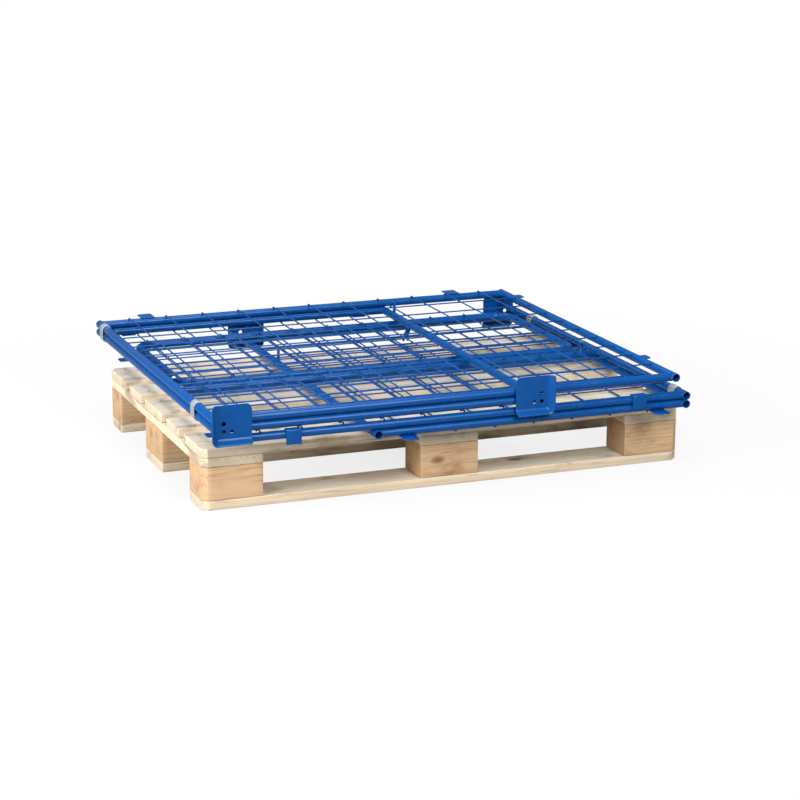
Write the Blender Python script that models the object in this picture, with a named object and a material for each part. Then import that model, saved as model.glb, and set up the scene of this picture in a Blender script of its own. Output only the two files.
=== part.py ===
"""Folded wire-mesh pallet cage lying on a four-way wooden pallet.

World frame: metres, +Z up, origin on the floor under the middle of the pallet, +X along the
pallet's length, -Y its front. The cage is two units of two panels each. A panel is modelled
in its own frame: origin on its hinge post's axis at mid length, +X towards its free post,
-Y towards its top end, and its wires on the outer side, which is +Z or -Z when folded.
"""
import math

import bmesh
import bpy
from mathutils import Matrix, Vector

# Clearances
GAP = 0.0003
WELD = 0.0005

# Wooden pallet
PALLET_LENGTH = 1.200
PALLET_WIDTH = 0.800
BOARD_THICK = 0.022
BLOCK_HEIGHT = 0.078
WIDE_BOARD = 0.145
NARROW_BOARD = 0.100
CORNER_CUT = 0.014

# Tubes and wires of the cage
TUBE_D = 0.020
TUBE_WALL = 0.0015
TUBE_SIDES = 16
WIRE_D = 0.005
WIRE_SIDES = 6
WIRE_WELD = 0.0004
WIRE_OVERRUN = 0.001

# Panels: how much narrower than the pallet they are between post axes, and their posts
LONG_SHORTFALL = 0.0655
SHORT_SHORTFALL = 0.017
POST_LENGTH = 1.0235
RAIL_INSET = 0.014

# Wires of the panels; nested panels' wires lie WIRE_NEST beside each other
LONG_WIRES = 11
LONG_WIRE_MARGIN = 0.07475
SHORT_WIRE_MARGIN = 0.075
WIRE_NEST = 0.00825
FULL_ROWS = 9
HALF_ROWS = 4

# Where the folded units lie on the pallet
CAGE_OFFSET_X = -0.0045
CAGE_OFFSET_Y = 0.0365
HINGE_SHORTFALL = 0.036

# Half gate of the lower long panel, measured from its top end and between tube axes
GATE_TOP_INSET = 0.077
GATE_HEIGHT = 0.4275
GATE_SIDE_INSET = 0.045
GATE_CORNER = 0.045
GATE_CORNER_STEPS = 5
MID_RAIL_DROP = 0.058

# Pull pins that hold the gate's lower corners
PIN_INSET = 0.0245
PIN_RISE = 0.006
PIN_D = 0.006
PIN_LENGTH = 0.024
PIN_HEAD_D = 0.012
PIN_HEAD_H = 0.006
SLEEVE_D = 0.011
SLEEVE_H = 0.013
EAR_WIDTH = 0.018
EAR_THICK = 0.003

# Stacking corner plates on the short panels' top ends
PLATE_FLAT_X = 0.080
PLATE_FLAT_Z = 0.076
PLATE_LIP = 0.021
PLATE_FLARE = 40.0
PLATE_THICK = 0.003
PLATE_ROUND = 0.013
PLATE_CORNER_STEPS = 6
PLATE_DROP = 0.0187
PLATE_HINGE_SHIFT = 0.0005
PLATE_FREE_SHIFT = 0.015
PLATE_HOLE_D = 0.010
PLATE_HOLE_PITCH = 0.0185
PLATE_HOLE_EDGE = 0.015

# Feet, lugs, catches and hook
FOOT_WIDTH = 0.036
FOOT_THICK = 0.003
FOOT_REACH = 0.038
FOOT_BACK = 0.006
FOOT_WIRE_SPACE = 0.003
SEAT_RISE = 0.012
SEAT_DROP = 0.022
SEAT_THICK = 0.004
LUG_LENGTH = 0.030
LUG_REACH = 0.036
LUG_THICK = 0.003
LUG_TOP_INSET = 0.213
LUG_BOTTOM_INSET = 0.064
CATCH_WIDTH = 0.012
CATCH_THICK = 0.004
UPPER_CATCH_INSET = 0.062
UPPER_CATCH_RISE = 0.029
LOWER_CATCH_INSET = 0.280
LOWER_CATCH_RISE = 0.030
CATCH_DROP = 0.004
FORK_INSET = 0.198
FORK_DEPTH = 0.044
FORK_THICK = 0.004
FORK_TOP_HALF = 0.006
FORK_TIP_SHIFT = 0.010
FORK_PRONG = 0.005
FORK_SLOT = 0.006
FORK_SLOT_DEPTH = 0.012

# Strap clips that join the hinge posts of a unit
CLIP_WIDTH = 0.028
CLIP_THICK = 0.002
CLIP_TOP_INSET = 0.148
CLIP_BOTTOM_INSET = 0.060
CLIP_STEPS = 8

# Values that follow from the sizes above
LONG_WIDTH = PALLET_LENGTH - LONG_SHORTFALL
SHORT_WIDTH = PALLET_WIDTH - SHORT_SHORTFALL
HINGE_SPAN = PALLET_LENGTH - HINGE_SHORTFALL
WIRE_PITCH = (LONG_WIDTH - 2 * LONG_WIRE_MARGIN) / (LONG_WIRES - 1)
SHORT_WIRES = 1 + int((SHORT_WIDTH - 2 * SHORT_WIRE_MARGIN) / WIRE_PITCH)
TUBE_R = TUBE_D / 2
WIRE_R = WIRE_D / 2
HALF_POST = POST_LENGTH / 2
RAIL_Y = HALF_POST - RAIL_INSET
DOWN_WIRE_OFF = TUBE_R + GAP + WIRE_R
CROSS_WIRE_OFF = DOWN_WIRE_OFF - WIRE_D + WIRE_WELD
DECK_TOP = 3 * BOARD_THICK + BLOCK_HEIGHT
NEST = TUBE_D + GAP
SHARE = DOWN_WIRE_OFF + CROSS_WIRE_OFF + WIRE_D + GAP
LOWER_SHORT_Z = DECK_TOP + GAP + WIRE_R + DOWN_WIRE_OFF
LOWER_LONG_Z = LOWER_SHORT_Z + NEST
UPPER_SHORT_Z = LOWER_LONG_Z + SHARE
UPPER_LONG_Z = UPPER_SHORT_Z + NEST
GATE_TOP_Y = GATE_TOP_INSET - HALF_POST
GATE_LOW_Y = GATE_TOP_Y + GATE_HEIGHT
MID_RAIL_Y = GATE_LOW_Y + MID_RAIL_DROP


def clear_scene():
    """Remove every object of the open file."""
    for item in list(bpy.data.objects):
        bpy.data.objects.remove(item, do_unlink=True)


def make_material(name, colour, roughness, metallic):
    """Principled material with one colour, roughness and metallic value."""
    material = bpy.data.materials.new(name)
    material.use_nodes = True
    shader = material.node_tree.nodes["Principled BSDF"]
    shader.inputs["Base Color"].default_value = (*colour, 1.0)
    shader.inputs["Roughness"].default_value = roughness
    shader.inputs["Metallic"].default_value = metallic
    return material


def object_from_bmesh(name, mesh_data, material=None, parent=None):
    """Turn a bmesh into a named object with outward faces."""
    bmesh.ops.recalc_face_normals(mesh_data, faces=mesh_data.faces)
    mesh = bpy.data.meshes.new(name)
    mesh_data.to_mesh(mesh)
    mesh_data.free()
    item = bpy.data.objects.new(name, mesh)
    bpy.context.scene.collection.objects.link(item)
    if material is not None:
        mesh.materials.append(material)
    if parent is not None:
        item.parent = parent
    return item


def smooth_round_faces(item):
    """Shade an object smooth and keep its edges above 35 degrees sharp."""
    item.data.shade_smooth()
    item.data.set_sharp_from_angle(angle=math.radians(35))


def cutter_from(item):
    """Mark an object as a helper that shapes another one."""
    item.hide_render = True
    item.display_type = "WIRE"
    return item


def apply_boolean(item, other, operation):
    """Join or cut an object with another one and remove the helper."""
    cutter_from(other)
    modifier = item.modifiers.new(operation.lower(), "BOOLEAN")
    modifier.operation = operation
    modifier.solver = "EXACT"
    modifier.object = other
    bpy.context.view_layer.update()
    graph = bpy.context.evaluated_depsgraph_get()
    shaped = bpy.data.meshes.new_from_object(item.evaluated_get(graph))
    item.modifiers.clear()
    old = item.data
    item.data = shaped
    bpy.data.meshes.remove(old)
    bpy.data.objects.remove(other, do_unlink=True)


def fuse(item, others):
    """Weld a list of pieces to an object."""
    for other in others:
        apply_boolean(item, other, "UNION")


def cut(item, cutters):
    """Cut an object with a list of cutters."""
    for cutter in cutters:
        apply_boolean(item, cutter, "DIFFERENCE")


def axis_matrix(axis):
    """Rotation that turns local +Z onto the named world axis."""
    if axis == "X":
        return Matrix.Rotation(math.radians(90), 4, "Y")
    if axis == "Y":
        return Matrix.Rotation(math.radians(-90), 4, "X")
    return Matrix.Identity(4)


def add_rod(mesh_data, start, end, axis, radius, sides):
    """Add a closed prism along an axis, with corners towards +Z and -Z where it lies flat."""
    start = Vector(start)
    end = Vector(end)
    middle = (start + end) / 2
    turn = Matrix.Rotation(math.radians(90), 4, "Z") if axis == "X" else Matrix.Identity(4)
    matrix = Matrix.Translation(middle) @ axis_matrix(axis) @ turn
    bmesh.ops.create_cone(
        mesh_data,
        cap_ends=True,
        segments=sides,
        radius1=radius,
        radius2=radius,
        depth=(end - start).length,
        matrix=matrix,
    )


def make_rod(name, start, end, axis, radius, sides, parent=None):
    """Closed round bar as an object of its own."""
    mesh_data = bmesh.new()
    add_rod(mesh_data, start, end, axis, radius, sides)
    return object_from_bmesh(name, mesh_data, parent=parent)


def ring_points(radius, sides):
    """Points of a ring in its own plane, with corners on both local axes."""
    points = []
    for index in range(sides):
        angle = 2 * math.pi * index / sides
        points.append((radius * math.cos(angle), radius * math.sin(angle)))
    return points


def ring_at(mesh_data, point, direction, radius, sides):
    """Ring of vertices round a point of a flat path."""
    side = Vector((-direction.y, direction.x, 0.0))
    ring = []
    for across, up in ring_points(radius, sides):
        ring.append(mesh_data.verts.new(point + side * across + Vector((0, 0, up))))
    return ring


def bridge_rings(mesh_data, first, second):
    """Quads between two rings with as many corners each."""
    sides = len(first)
    for corner in range(sides):
        after = (corner + 1) % sides
        mesh_data.faces.new((first[corner], first[after], second[after], second[corner]))


def loop_bar(path, radius, sides):
    """Solid bar that follows a closed flat path of (point, direction) pairs."""
    mesh_data = bmesh.new()
    rings = [ring_at(mesh_data, point, way, radius, sides) for point, way in path]
    for first, second in zip(rings, rings[1:] + rings[:1]):
        bridge_rings(mesh_data, first, second)
    return mesh_data


def open_tube(start, end, outer_r, inner_r, sides):
    """Straight tube with both ends open."""
    mesh_data = bmesh.new()
    way = (end - start).normalized()
    corners = []
    for point, radius in ((start, outer_r), (end, outer_r), (end, inner_r), (start, inner_r)):
        corners.append(ring_at(mesh_data, point, way, radius, sides))
    for first, second in zip(corners, corners[1:] + corners[:1]):
        bridge_rings(mesh_data, first, second)
    return mesh_data


def make_tube(name, start, end, material, parent):
    """Straight open-ended tube of the cage."""
    inner_r = TUBE_R - TUBE_WALL
    mesh_data = open_tube(Vector(start), Vector(end), TUBE_R, inner_r, TUBE_SIDES)
    return object_from_bmesh(name, mesh_data, material, parent)


def prism(name, outline, axis, low, high, parent=None, material=None):
    """Closed plate: a flat outline pushed from low to high along one axis."""
    mesh_data = bmesh.new()
    loop = []
    for first, second in outline:
        place = {"X": (low, first, second), "Y": (first, low, second), "Z": (first, second, low)}
        loop.append(mesh_data.verts.new(place[axis]))
    face = mesh_data.faces.new(loop)
    result = bmesh.ops.extrude_face_region(mesh_data, geom=[face])
    moved = [part for part in result["geom"] if isinstance(part, bmesh.types.BMVert)]
    push = {"X": (high - low, 0, 0), "Y": (0, high - low, 0), "Z": (0, 0, high - low)}[axis]
    bmesh.ops.translate(mesh_data, verts=moved, vec=push)
    return object_from_bmesh(name, mesh_data, material, parent)


def rectangle(low_a, high_a, low_b, high_b):
    """Outline of a rectangle."""
    return [(low_a, low_b), (high_a, low_b), (high_a, high_b), (low_a, high_b)]


def cut_rectangle(low_a, high_a, low_b, high_b, cuts):
    """Outline of a rectangle with the corners named in cuts taken off at 45 degrees."""
    corners = [
        ((low_a, low_b), (1, 1)),
        ((high_a, low_b), (-1, 1)),
        ((high_a, high_b), (-1, -1)),
        ((low_a, high_b), (1, -1)),
    ]
    outline = []
    for index, ((a, b), (step_a, step_b)) in enumerate(corners):
        if (-step_a, -step_b) not in cuts:
            outline.append((a, b))
            continue
        along_a = (a + step_a * CORNER_CUT, b)
        along_b = (a, b + step_b * CORNER_CUT)
        outline.extend((along_b, along_a) if index % 2 == 0 else (along_a, along_b))
    return outline


def pallet_columns():
    """Centres and widths of the three rows of blocks along X and along Y."""
    side_x = PALLET_LENGTH / 2 - WIDE_BOARD / 2
    side_y = PALLET_WIDTH / 2 - NARROW_BOARD / 2
    along_x = (("left", -side_x, -1), ("middle", 0.0, 0), ("right", side_x, 1))
    along_y = (
        ("front", -side_y, NARROW_BOARD, -1),
        ("middle", 0.0, WIDE_BOARD, 0),
        ("back", side_y, NARROW_BOARD, 1),
    )
    return along_x, along_y


def build_bottom_boards(material):
    """Three boards along X that stand on the floor."""
    _, along_y = pallet_columns()
    half = PALLET_LENGTH / 2
    for label, centre, width, side in along_y:
        cuts = [(-1, side), (1, side)] if side else []
        low_y = centre - width / 2
        high_y = centre + width / 2
        outline = cut_rectangle(-half, half, low_y, high_y, cuts)
        prism(f"bottom_board_{label}", outline, "Z", 0.0, BOARD_THICK, material=material)


def build_blocks(material):
    """Nine blocks between the bottom boards and the stringers."""
    along_x, along_y = pallet_columns()
    low_z = BOARD_THICK + GAP
    high_z = BOARD_THICK + BLOCK_HEIGHT
    for label_x, centre_x, side_x in along_x:
        for label_y, centre_y, width_y, side_y in along_y:
            cuts = [(side_x, side_y)] if side_x and side_y else []
            low_x = centre_x - WIDE_BOARD / 2
            high_x = centre_x + WIDE_BOARD / 2
            low_y = centre_y - width_y / 2
            high_y = centre_y + width_y / 2
            outline = cut_rectangle(low_x, high_x, low_y, high_y, cuts)
            prism(f"block_{label_x}_{label_y}", outline, "Z", low_z, high_z, material=material)


def build_stringers(material):
    """Three boards along Y on top of the blocks."""
    along_x, _ = pallet_columns()
    low_z = BOARD_THICK + BLOCK_HEIGHT + GAP
    high_z = low_z + BOARD_THICK - GAP
    half = PALLET_WIDTH / 2
    for label, centre, side in along_x:
        cuts = [(side, -1), (side, 1)] if side else []
        low_x = centre - WIDE_BOARD / 2
        high_x = centre + WIDE_BOARD / 2
        outline = cut_rectangle(low_x, high_x, -half, half, cuts)
        prism(f"stringer_{label}", outline, "Z", low_z, high_z, material=material)


def build_deck(material):
    """Five deck boards along X, three wide and two narrow, with even gaps."""
    widths = (WIDE_BOARD, NARROW_BOARD, WIDE_BOARD, NARROW_BOARD, WIDE_BOARD)
    space = (PALLET_WIDTH - sum(widths)) / (len(widths) - 1)
    low_z = DECK_TOP - BOARD_THICK + GAP
    half = PALLET_LENGTH / 2
    low_y = -PALLET_WIDTH / 2
    for index, width in enumerate(widths):
        side = {0: -1, len(widths) - 1: 1}.get(index, 0)
        cuts = [(-1, side), (1, side)] if side else []
        outline = cut_rectangle(-half, half, low_y, low_y + width, cuts)
        prism(f"deck_board_{index + 1}", outline, "Z", low_z, DECK_TOP, material=material)
        low_y += width + space


def build_pallet(deck_wood, block_wood):
    """Whole pallet: boards, blocks, stringers and deck."""
    build_bottom_boards(deck_wood)
    build_blocks(block_wood)
    build_stringers(deck_wood)
    build_deck(deck_wood)


def panel_frame(name, height, lower_unit):
    """Empty on a unit's hinge axis that carries one panel."""
    frame = bpy.data.objects.new(name, None)
    bpy.context.scene.collection.objects.link(frame)
    side = 1 if lower_unit else -1
    frame.location = (CAGE_OFFSET_X + side * HINGE_SPAN / 2, CAGE_OFFSET_Y, height)
    if lower_unit:
        frame.rotation_euler = (0.0, 0.0, math.pi)
    bpy.context.view_layer.update()
    return frame


def post(name, x, material, frame):
    """Post of a panel, open at both ends."""
    return make_tube(name, (x, -HALF_POST, 0), (x, HALF_POST, 0), material, frame)


def rail(name, width, y, material, frame):
    """Tube between a panel's posts, with both ends coped to the posts."""
    item = make_tube(name, (0, y, 0), (width, y, 0), material, frame)
    reach = TUBE_D
    for x in (0.0, width):
        start = (x, y - reach, 0)
        end = (x, y + reach, 0)
        cutter = make_rod("cope", start, end, "Y", TUBE_R + GAP, TUBE_SIDES, frame)
        cut(item, [cutter])
    drop_end_offcuts(item, width)
    return item


def drop_end_offcuts(item, width):
    """Remove what a cope leaves beyond the post axes."""
    mesh_data = bmesh.new()
    mesh_data.from_mesh(item.data)
    beyond = [vert for vert in mesh_data.verts if vert.co.x < GAP or vert.co.x > width - GAP]
    bmesh.ops.delete(mesh_data, geom=beyond, context="VERTS")
    mesh_data.to_mesh(item.data)
    mesh_data.free()


def long_wire_places():
    """Positions of a long panel's wires, centred in its width."""
    return [LONG_WIRE_MARGIN + index * WIRE_PITCH for index in range(LONG_WIRES)]


def short_wire_places():
    """Positions of a short panel's wires, beside those of the long panel it lies on.

    Counted from the short panel's hinge, that long panel's first wire is at the hinge span
    less its margin. The grid is moved from there in whole pitches until it is centred.
    """
    nested = HINGE_SPAN - LONG_WIRE_MARGIN - WIRE_NEST
    centred = (SHORT_WIDTH - (SHORT_WIRES - 1) * WIRE_PITCH) / 2
    first = nested - WIRE_PITCH * round((nested - centred) / WIRE_PITCH)
    return [first + index * WIRE_PITCH for index in range(SHORT_WIRES)]


def row_places(count, low, high):
    """Positions of cross wires that divide the way between two tubes evenly."""
    step = (high - low) / (count + 1)
    return [low + step * (index + 1) for index in range(count)]


def mesh_grid(name, places, rows, span_x, span_y, outer, material, frame):
    """Welded grid: wires along Y outside, cross wires along X behind them."""
    down = bmesh.new()
    height = outer * DOWN_WIRE_OFF
    for x in places:
        start = (x, span_y[0] - WIRE_OVERRUN, height)
        end = (x, span_y[1] + WIRE_OVERRUN, height)
        add_rod(down, start, end, "Y", WIRE_R, WIRE_SIDES)
    item = object_from_bmesh(name, down, material, frame)
    cross = bmesh.new()
    height = outer * CROSS_WIRE_OFF
    reach = cross_wire_clearance()
    for y in rows:
        start = (span_x[0] + reach, y, height)
        end = (span_x[1] - reach, y, height)
        add_rod(cross, start, end, "X", WIRE_R, WIRE_SIDES)
    rows_item = object_from_bmesh("rows", cross, parent=frame)
    fuse(item, [rows_item])
    smooth_round_faces(item)
    return item


def cross_wire_clearance():
    """Distance from a tube's axis at which a cross wire just clears its side."""
    low = CROSS_WIRE_OFF - WIRE_R
    return math.sqrt(TUBE_R ** 2 - low ** 2) + GAP


def foot_offset():
    """Distance from a wire's axis to the middle of the foot beside it."""
    return WIRE_R + FOOT_WIRE_SPACE + FOOT_WIDTH / 2


def long_feet(places):
    """Middles of a long panel's two feet, which stand between its outer wires."""
    return places[0] + WIRE_PITCH / 2, places[-2] + foot_offset()


def short_feet(places):
    """Middles of a short panel's two feet, which stand outside its outer wires."""
    return places[0] - foot_offset(), places[-1] + foot_offset()


def foot_tab(rail_y, centre, outer, frame):
    """Flat foot on the outer side of a bottom rail, reaching past the panel's edge."""
    low = outer * (TUBE_R - WELD)
    high = low + outer * FOOT_THICK
    half = FOOT_WIDTH / 2
    outline = rectangle(centre - half, centre + half, rail_y - FOOT_BACK, rail_y + FOOT_REACH)
    return prism("foot", outline, "Z", low, high, frame)


def seat_plate(rail_y, centre, frame):
    """Upright foot in front of a bottom rail, held off it by its weld."""
    back = rail_y + TUBE_R + GAP
    half = FOOT_WIDTH / 2
    plate_outline = rectangle(centre - half, centre + half, -SEAT_DROP, SEAT_RISE)
    plate = prism("seat", plate_outline, "Y", back, back + SEAT_THICK, frame)
    bead_half = TUBE_WALL * 2
    bead_outline = rectangle(rail_y + TUBE_R - TUBE_WALL, back + WELD, -bead_half, bead_half)
    bead = prism("bead", bead_outline, "X", centre - half / 2, centre + half / 2, frame)
    fuse(plate, [bead])
    return plate


def add_post_lugs(item, x, frame):
    """Two flat lugs in the panel's plane on the outside of a free post."""
    pieces = []
    for y in (LUG_TOP_INSET - HALF_POST, HALF_POST - LUG_BOTTOM_INSET):
        outline = rectangle(
            x + TUBE_R - TUBE_WALL + WELD,
            x + LUG_REACH,
            y - LUG_LENGTH / 2,
            y + LUG_LENGTH / 2,
        )
        pieces.append(prism("lug", outline, "Z", -LUG_THICK / 2, LUG_THICK / 2, frame))
    fuse(item, pieces)


def catch_plate(x, y, side, rise, frame):
    """Narrow upright plate welded to one side of a free post."""
    near = x + side * (TUBE_R - WELD)
    far = near + side * CATCH_THICK
    outline = rectangle(y - CATCH_WIDTH / 2, y + CATCH_WIDTH / 2, -CATCH_DROP, rise)
    return prism("catch", outline, "X", near, far, frame)


def fork_hook(x, y, frame):
    """Two-pronged hook that hangs from a free post."""
    top = -(TUBE_R - WELD - WELD)
    tip_centre = x - FORK_TIP_SHIFT
    half_slot = FORK_SLOT / 2
    outer = half_slot + FORK_PRONG
    slot_top = -FORK_DEPTH + FORK_SLOT_DEPTH
    outline = [
        (x - FORK_TOP_HALF, top),
        (tip_centre - outer, slot_top),
        (tip_centre - outer, -FORK_DEPTH),
        (tip_centre - half_slot, -FORK_DEPTH),
        (tip_centre - half_slot, slot_top),
        (tip_centre + half_slot, slot_top),
        (tip_centre + half_slot, -FORK_DEPTH),
        (tip_centre + outer, -FORK_DEPTH),
        (tip_centre + outer, slot_top),
        (x + FORK_TOP_HALF, top),
    ]
    return prism("fork", outline, "Y", y - FORK_THICK / 2, y + FORK_THICK / 2, frame)


def corner_sheet(outward):
    """Mid sheet of a corner plate: a flat field with two flared lips and a pressed corner.

    The field starts at the crossing of the bend lines. A point beyond a bend line by d
    leans forward by d times the tangent of the flare, so the corner between the lips
    becomes a quarter cone.
    """
    mesh_data = bmesh.new()
    lean = math.tan(math.radians(PLATE_FLARE))
    reach = PLATE_LIP * math.cos(math.radians(PLATE_FLARE))

    def vertex(u, v, beyond):
        return mesh_data.verts.new((outward * -u, -beyond * lean, v))

    corner = vertex(0, 0, 0)
    inner_low = vertex(PLATE_FLAT_X, 0, 0)
    inner_high = vertex(PLATE_FLAT_X, PLATE_FLAT_Z, 0)
    outer_high = vertex(0, PLATE_FLAT_Z, 0)
    mesh_data.faces.new((corner, inner_low, inner_high, outer_high))
    lip_high = vertex(-reach, PLATE_FLAT_Z, reach)
    lip_inner = vertex(PLATE_FLAT_X, -reach, reach)
    arc = []
    for index in range(PLATE_CORNER_STEPS + 1):
        angle = math.pi / 2 * index / PLATE_CORNER_STEPS
        arc.append(vertex(-reach * math.cos(angle), -reach * math.sin(angle), reach))
    mesh_data.faces.new((corner, outer_high, lip_high, arc[0]))
    mesh_data.faces.new((corner, arc[-1], lip_inner, inner_low))
    for first, second in zip(arc[:-1], arc[1:]):
        mesh_data.faces.new((corner, first, second))
    rounded = [inner_high, lip_high, lip_inner]
    bmesh.ops.bevel(
        mesh_data,
        geom=rounded,
        offset=PLATE_ROUND,
        segments=4,
        profile=0.5,
        affect="VERTICES",
    )
    bmesh.ops.recalc_face_normals(mesh_data, faces=mesh_data.faces)
    if sum(face.normal.y for face in mesh_data.faces) > 0:
        bmesh.ops.reverse_faces(mesh_data, faces=mesh_data.faces)
    return mesh_data


def corner_plate(name, post_x, shift, outward, material, frame):
    """Pressed plate before a post's top end, with three holes in an L."""
    mesh_data = corner_sheet(outward)
    mesh = bpy.data.meshes.new(name)
    mesh_data.to_mesh(mesh)
    mesh_data.free()
    mesh.materials.append(material)
    item = bpy.data.objects.new(name, mesh)
    bpy.context.scene.collection.objects.link(item)
    item.parent = frame
    bend_x = post_x + outward * shift
    back = -HALF_POST - GAP
    item.location = (bend_x, back, -PLATE_DROP)
    solidify = item.modifiers.new("sheet", "SOLIDIFY")
    solidify.thickness = PLATE_THICK
    solidify.offset = 1.0
    solidify.use_even_offset = True
    bpy.context.view_layer.update()
    inner = PLATE_HOLE_EDGE
    holes = (
        (inner, PLATE_HOLE_EDGE),
        (inner, PLATE_HOLE_EDGE + PLATE_HOLE_PITCH),
        (inner + PLATE_HOLE_PITCH, PLATE_HOLE_EDGE),
    )
    cutters = []
    for u, v in holes:
        x = bend_x - outward * u
        z = v - PLATE_DROP
        start = (x, back - 2 * PLATE_THICK, z)
        end = (x, back + PLATE_THICK, z)
        cutters.append(make_rod("hole", start, end, "Y", PLATE_HOLE_D / 2, 16, frame))
    keep_world_shape(item)
    cut(item, cutters)
    return item


def keep_world_shape(item):
    """Replace an object's mesh by its evaluated one, before further cuts."""
    graph = bpy.context.evaluated_depsgraph_get()
    shaped = bpy.data.meshes.new_from_object(item.evaluated_get(graph))
    item.modifiers.clear()
    old = item.data
    item.data = shaped
    bpy.data.meshes.remove(old)


def strap_outline(radius, rise, steps):
    """Stadium outline round two tubes, one above the other."""
    outline = []
    for centre, start in ((rise, 0.0), (0.0, math.pi)):
        for index in range(steps + 1):
            angle = start + math.pi * index / steps
            outline.append((radius * math.cos(angle), centre + radius * math.sin(angle)))
    return outline


def strap_clip(name, y, rise, material, frame):
    """Sheet strap that loops round the two hinge posts of a unit."""
    inner_r = TUBE_R + GAP
    low = y - CLIP_WIDTH / 2
    high = y + CLIP_WIDTH / 2
    outer = strap_outline(inner_r + CLIP_THICK, rise, CLIP_STEPS)
    inner = strap_outline(inner_r, rise, CLIP_STEPS)
    item = prism(name, outer, "Y", low, high, frame, material)
    opening = prism("opening", inner, "Y", low - CLIP_THICK, high + CLIP_THICK, frame)
    cut(item, [opening])
    smooth_round_faces(item)
    return item


def build_clips(prefix, material, frame):
    """Two clips near the ends of a unit's hinge posts, carried by the short panel."""
    top_y = CLIP_TOP_INSET - HALF_POST
    bottom_y = HALF_POST - CLIP_BOTTOM_INSET
    strap_clip(f"{prefix}_clip_top", top_y, NEST, material, frame)
    strap_clip(f"{prefix}_clip_bottom", bottom_y, NEST, material, frame)


def build_plain_long_panel(blue, frame):
    """Upper long panel: a full mesh between two posts and two rails."""
    smooth_round_faces(post("plain_post_hinge", 0.0, blue, frame))
    free = post("plain_post_free", LONG_WIDTH, blue, frame)
    add_post_lugs(free, LONG_WIDTH, frame)
    smooth_round_faces(free)
    smooth_round_faces(rail("plain_rail_top", LONG_WIDTH, -RAIL_Y, blue, frame))
    places = long_wire_places()
    bottom = rail("plain_rail_bottom", LONG_WIDTH, RAIL_Y, blue, frame)
    fuse(bottom, [foot_tab(RAIL_Y, centre, 1, frame) for centre in long_feet(places)])
    smooth_round_faces(bottom)
    rows = row_places(FULL_ROWS, -RAIL_Y, RAIL_Y)
    span_x = (0.0, LONG_WIDTH)
    mesh_grid("plain_mesh", places, rows, span_x, (-RAIL_Y, RAIL_Y), 1, blue, frame)


def build_short_panel(prefix, extras, blue, frame):
    """Short panel with two corner plates; extras are welded to its free post."""
    smooth_round_faces(post(f"{prefix}_post_hinge", 0.0, blue, frame))
    free = post(f"{prefix}_post_free", SHORT_WIDTH, blue, frame)
    fuse(free, extras)
    smooth_round_faces(free)
    smooth_round_faces(rail(f"{prefix}_rail_top", SHORT_WIDTH, -RAIL_Y, blue, frame))
    places = short_wire_places()
    bottom = rail(f"{prefix}_rail_bottom", SHORT_WIDTH, RAIL_Y, blue, frame)
    fuse(bottom, [foot_tab(RAIL_Y, centre, -1, frame) for centre in short_feet(places)])
    smooth_round_faces(bottom)
    rows = row_places(FULL_ROWS, -RAIL_Y, RAIL_Y)
    span_x = (0.0, SHORT_WIDTH)
    mesh_grid(f"{prefix}_mesh", places, rows, span_x, (-RAIL_Y, RAIL_Y), -1, blue, frame)
    corner_plate(f"{prefix}_corner_plate_hinge", 0.0, -PLATE_HINGE_SHIFT, -1, blue, frame)
    corner_plate(f"{prefix}_corner_plate_free", SHORT_WIDTH, PLATE_FREE_SHIFT, 1, blue, frame)


def gate_path(low_x, high_x):
    """Closed rounded rectangle that the gate's tube follows."""
    low_y = GATE_TOP_Y
    high_y = GATE_LOW_Y
    corners = (
        (high_x - GATE_CORNER, low_y + GATE_CORNER, -90),
        (high_x - GATE_CORNER, high_y - GATE_CORNER, 0),
        (low_x + GATE_CORNER, high_y - GATE_CORNER, 90),
        (low_x + GATE_CORNER, low_y + GATE_CORNER, 180),
    )
    path = []
    for centre_x, centre_y, start in corners:
        for index in range(GATE_CORNER_STEPS + 1):
            angle = math.radians(start + 90 * index / GATE_CORNER_STEPS)
            x = centre_x + GATE_CORNER * math.cos(angle)
            y = centre_y + GATE_CORNER * math.sin(angle)
            direction = Vector((-math.sin(angle), math.cos(angle), 0.0))
            path.append((Vector((x, y, 0.0)), direction))
    return path


def pin_y():
    """Where the pull pins stand along the posts."""
    return GATE_LOW_Y - PIN_RISE


def gate_ear(x, side, frame):
    """Eye on the gate's lower corner that its pull pin enters."""
    y = pin_y()
    bend_x = x - side * (GATE_SIDE_INSET - PIN_INSET + GATE_CORNER)
    outside = (GATE_CORNER + TUBE_R) ** 2 - (GATE_CORNER - PIN_RISE) ** 2
    near = bend_x + side * (math.sqrt(outside) - TUBE_WALL)
    far = x + side * EAR_WIDTH / 2
    outline = rectangle(min(near, far), max(near, far), y - EAR_WIDTH / 2, y + EAR_WIDTH / 2)
    ear = prism("ear", outline, "Z", -EAR_THICK / 2, EAR_THICK / 2, frame)
    return ear


def pin_bore(x, frame):
    """Cutter for the hole that a pull pin runs in."""
    y = pin_y()
    reach = SLEEVE_H + PIN_LENGTH
    return make_rod("bore", (x, y, -reach), (x, y, reach), "Z", PIN_D / 2 + GAP, 12, frame)


def sleeve_bracket(post_x, x, side, frame):
    """Bracket on a post with the sleeve that guides a pull pin."""
    y = pin_y()
    low_z = EAR_THICK / 2 + GAP
    wall = post_x - side * (TUBE_R - TUBE_WALL + WELD)
    far = x - side * SLEEVE_D / 2
    outline = rectangle(min(wall, far), max(wall, far), y - EAR_WIDTH / 2, y + EAR_WIDTH / 2)
    bracket = prism("bracket", outline, "Z", low_z, low_z + EAR_THICK, frame)
    low = (x, y, low_z + WELD)
    high = (x, y, low_z + SLEEVE_H)
    sleeve = make_rod("sleeve", low, high, "Z", SLEEVE_D / 2, 16, frame)
    fuse(bracket, [sleeve])
    return bracket


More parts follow.
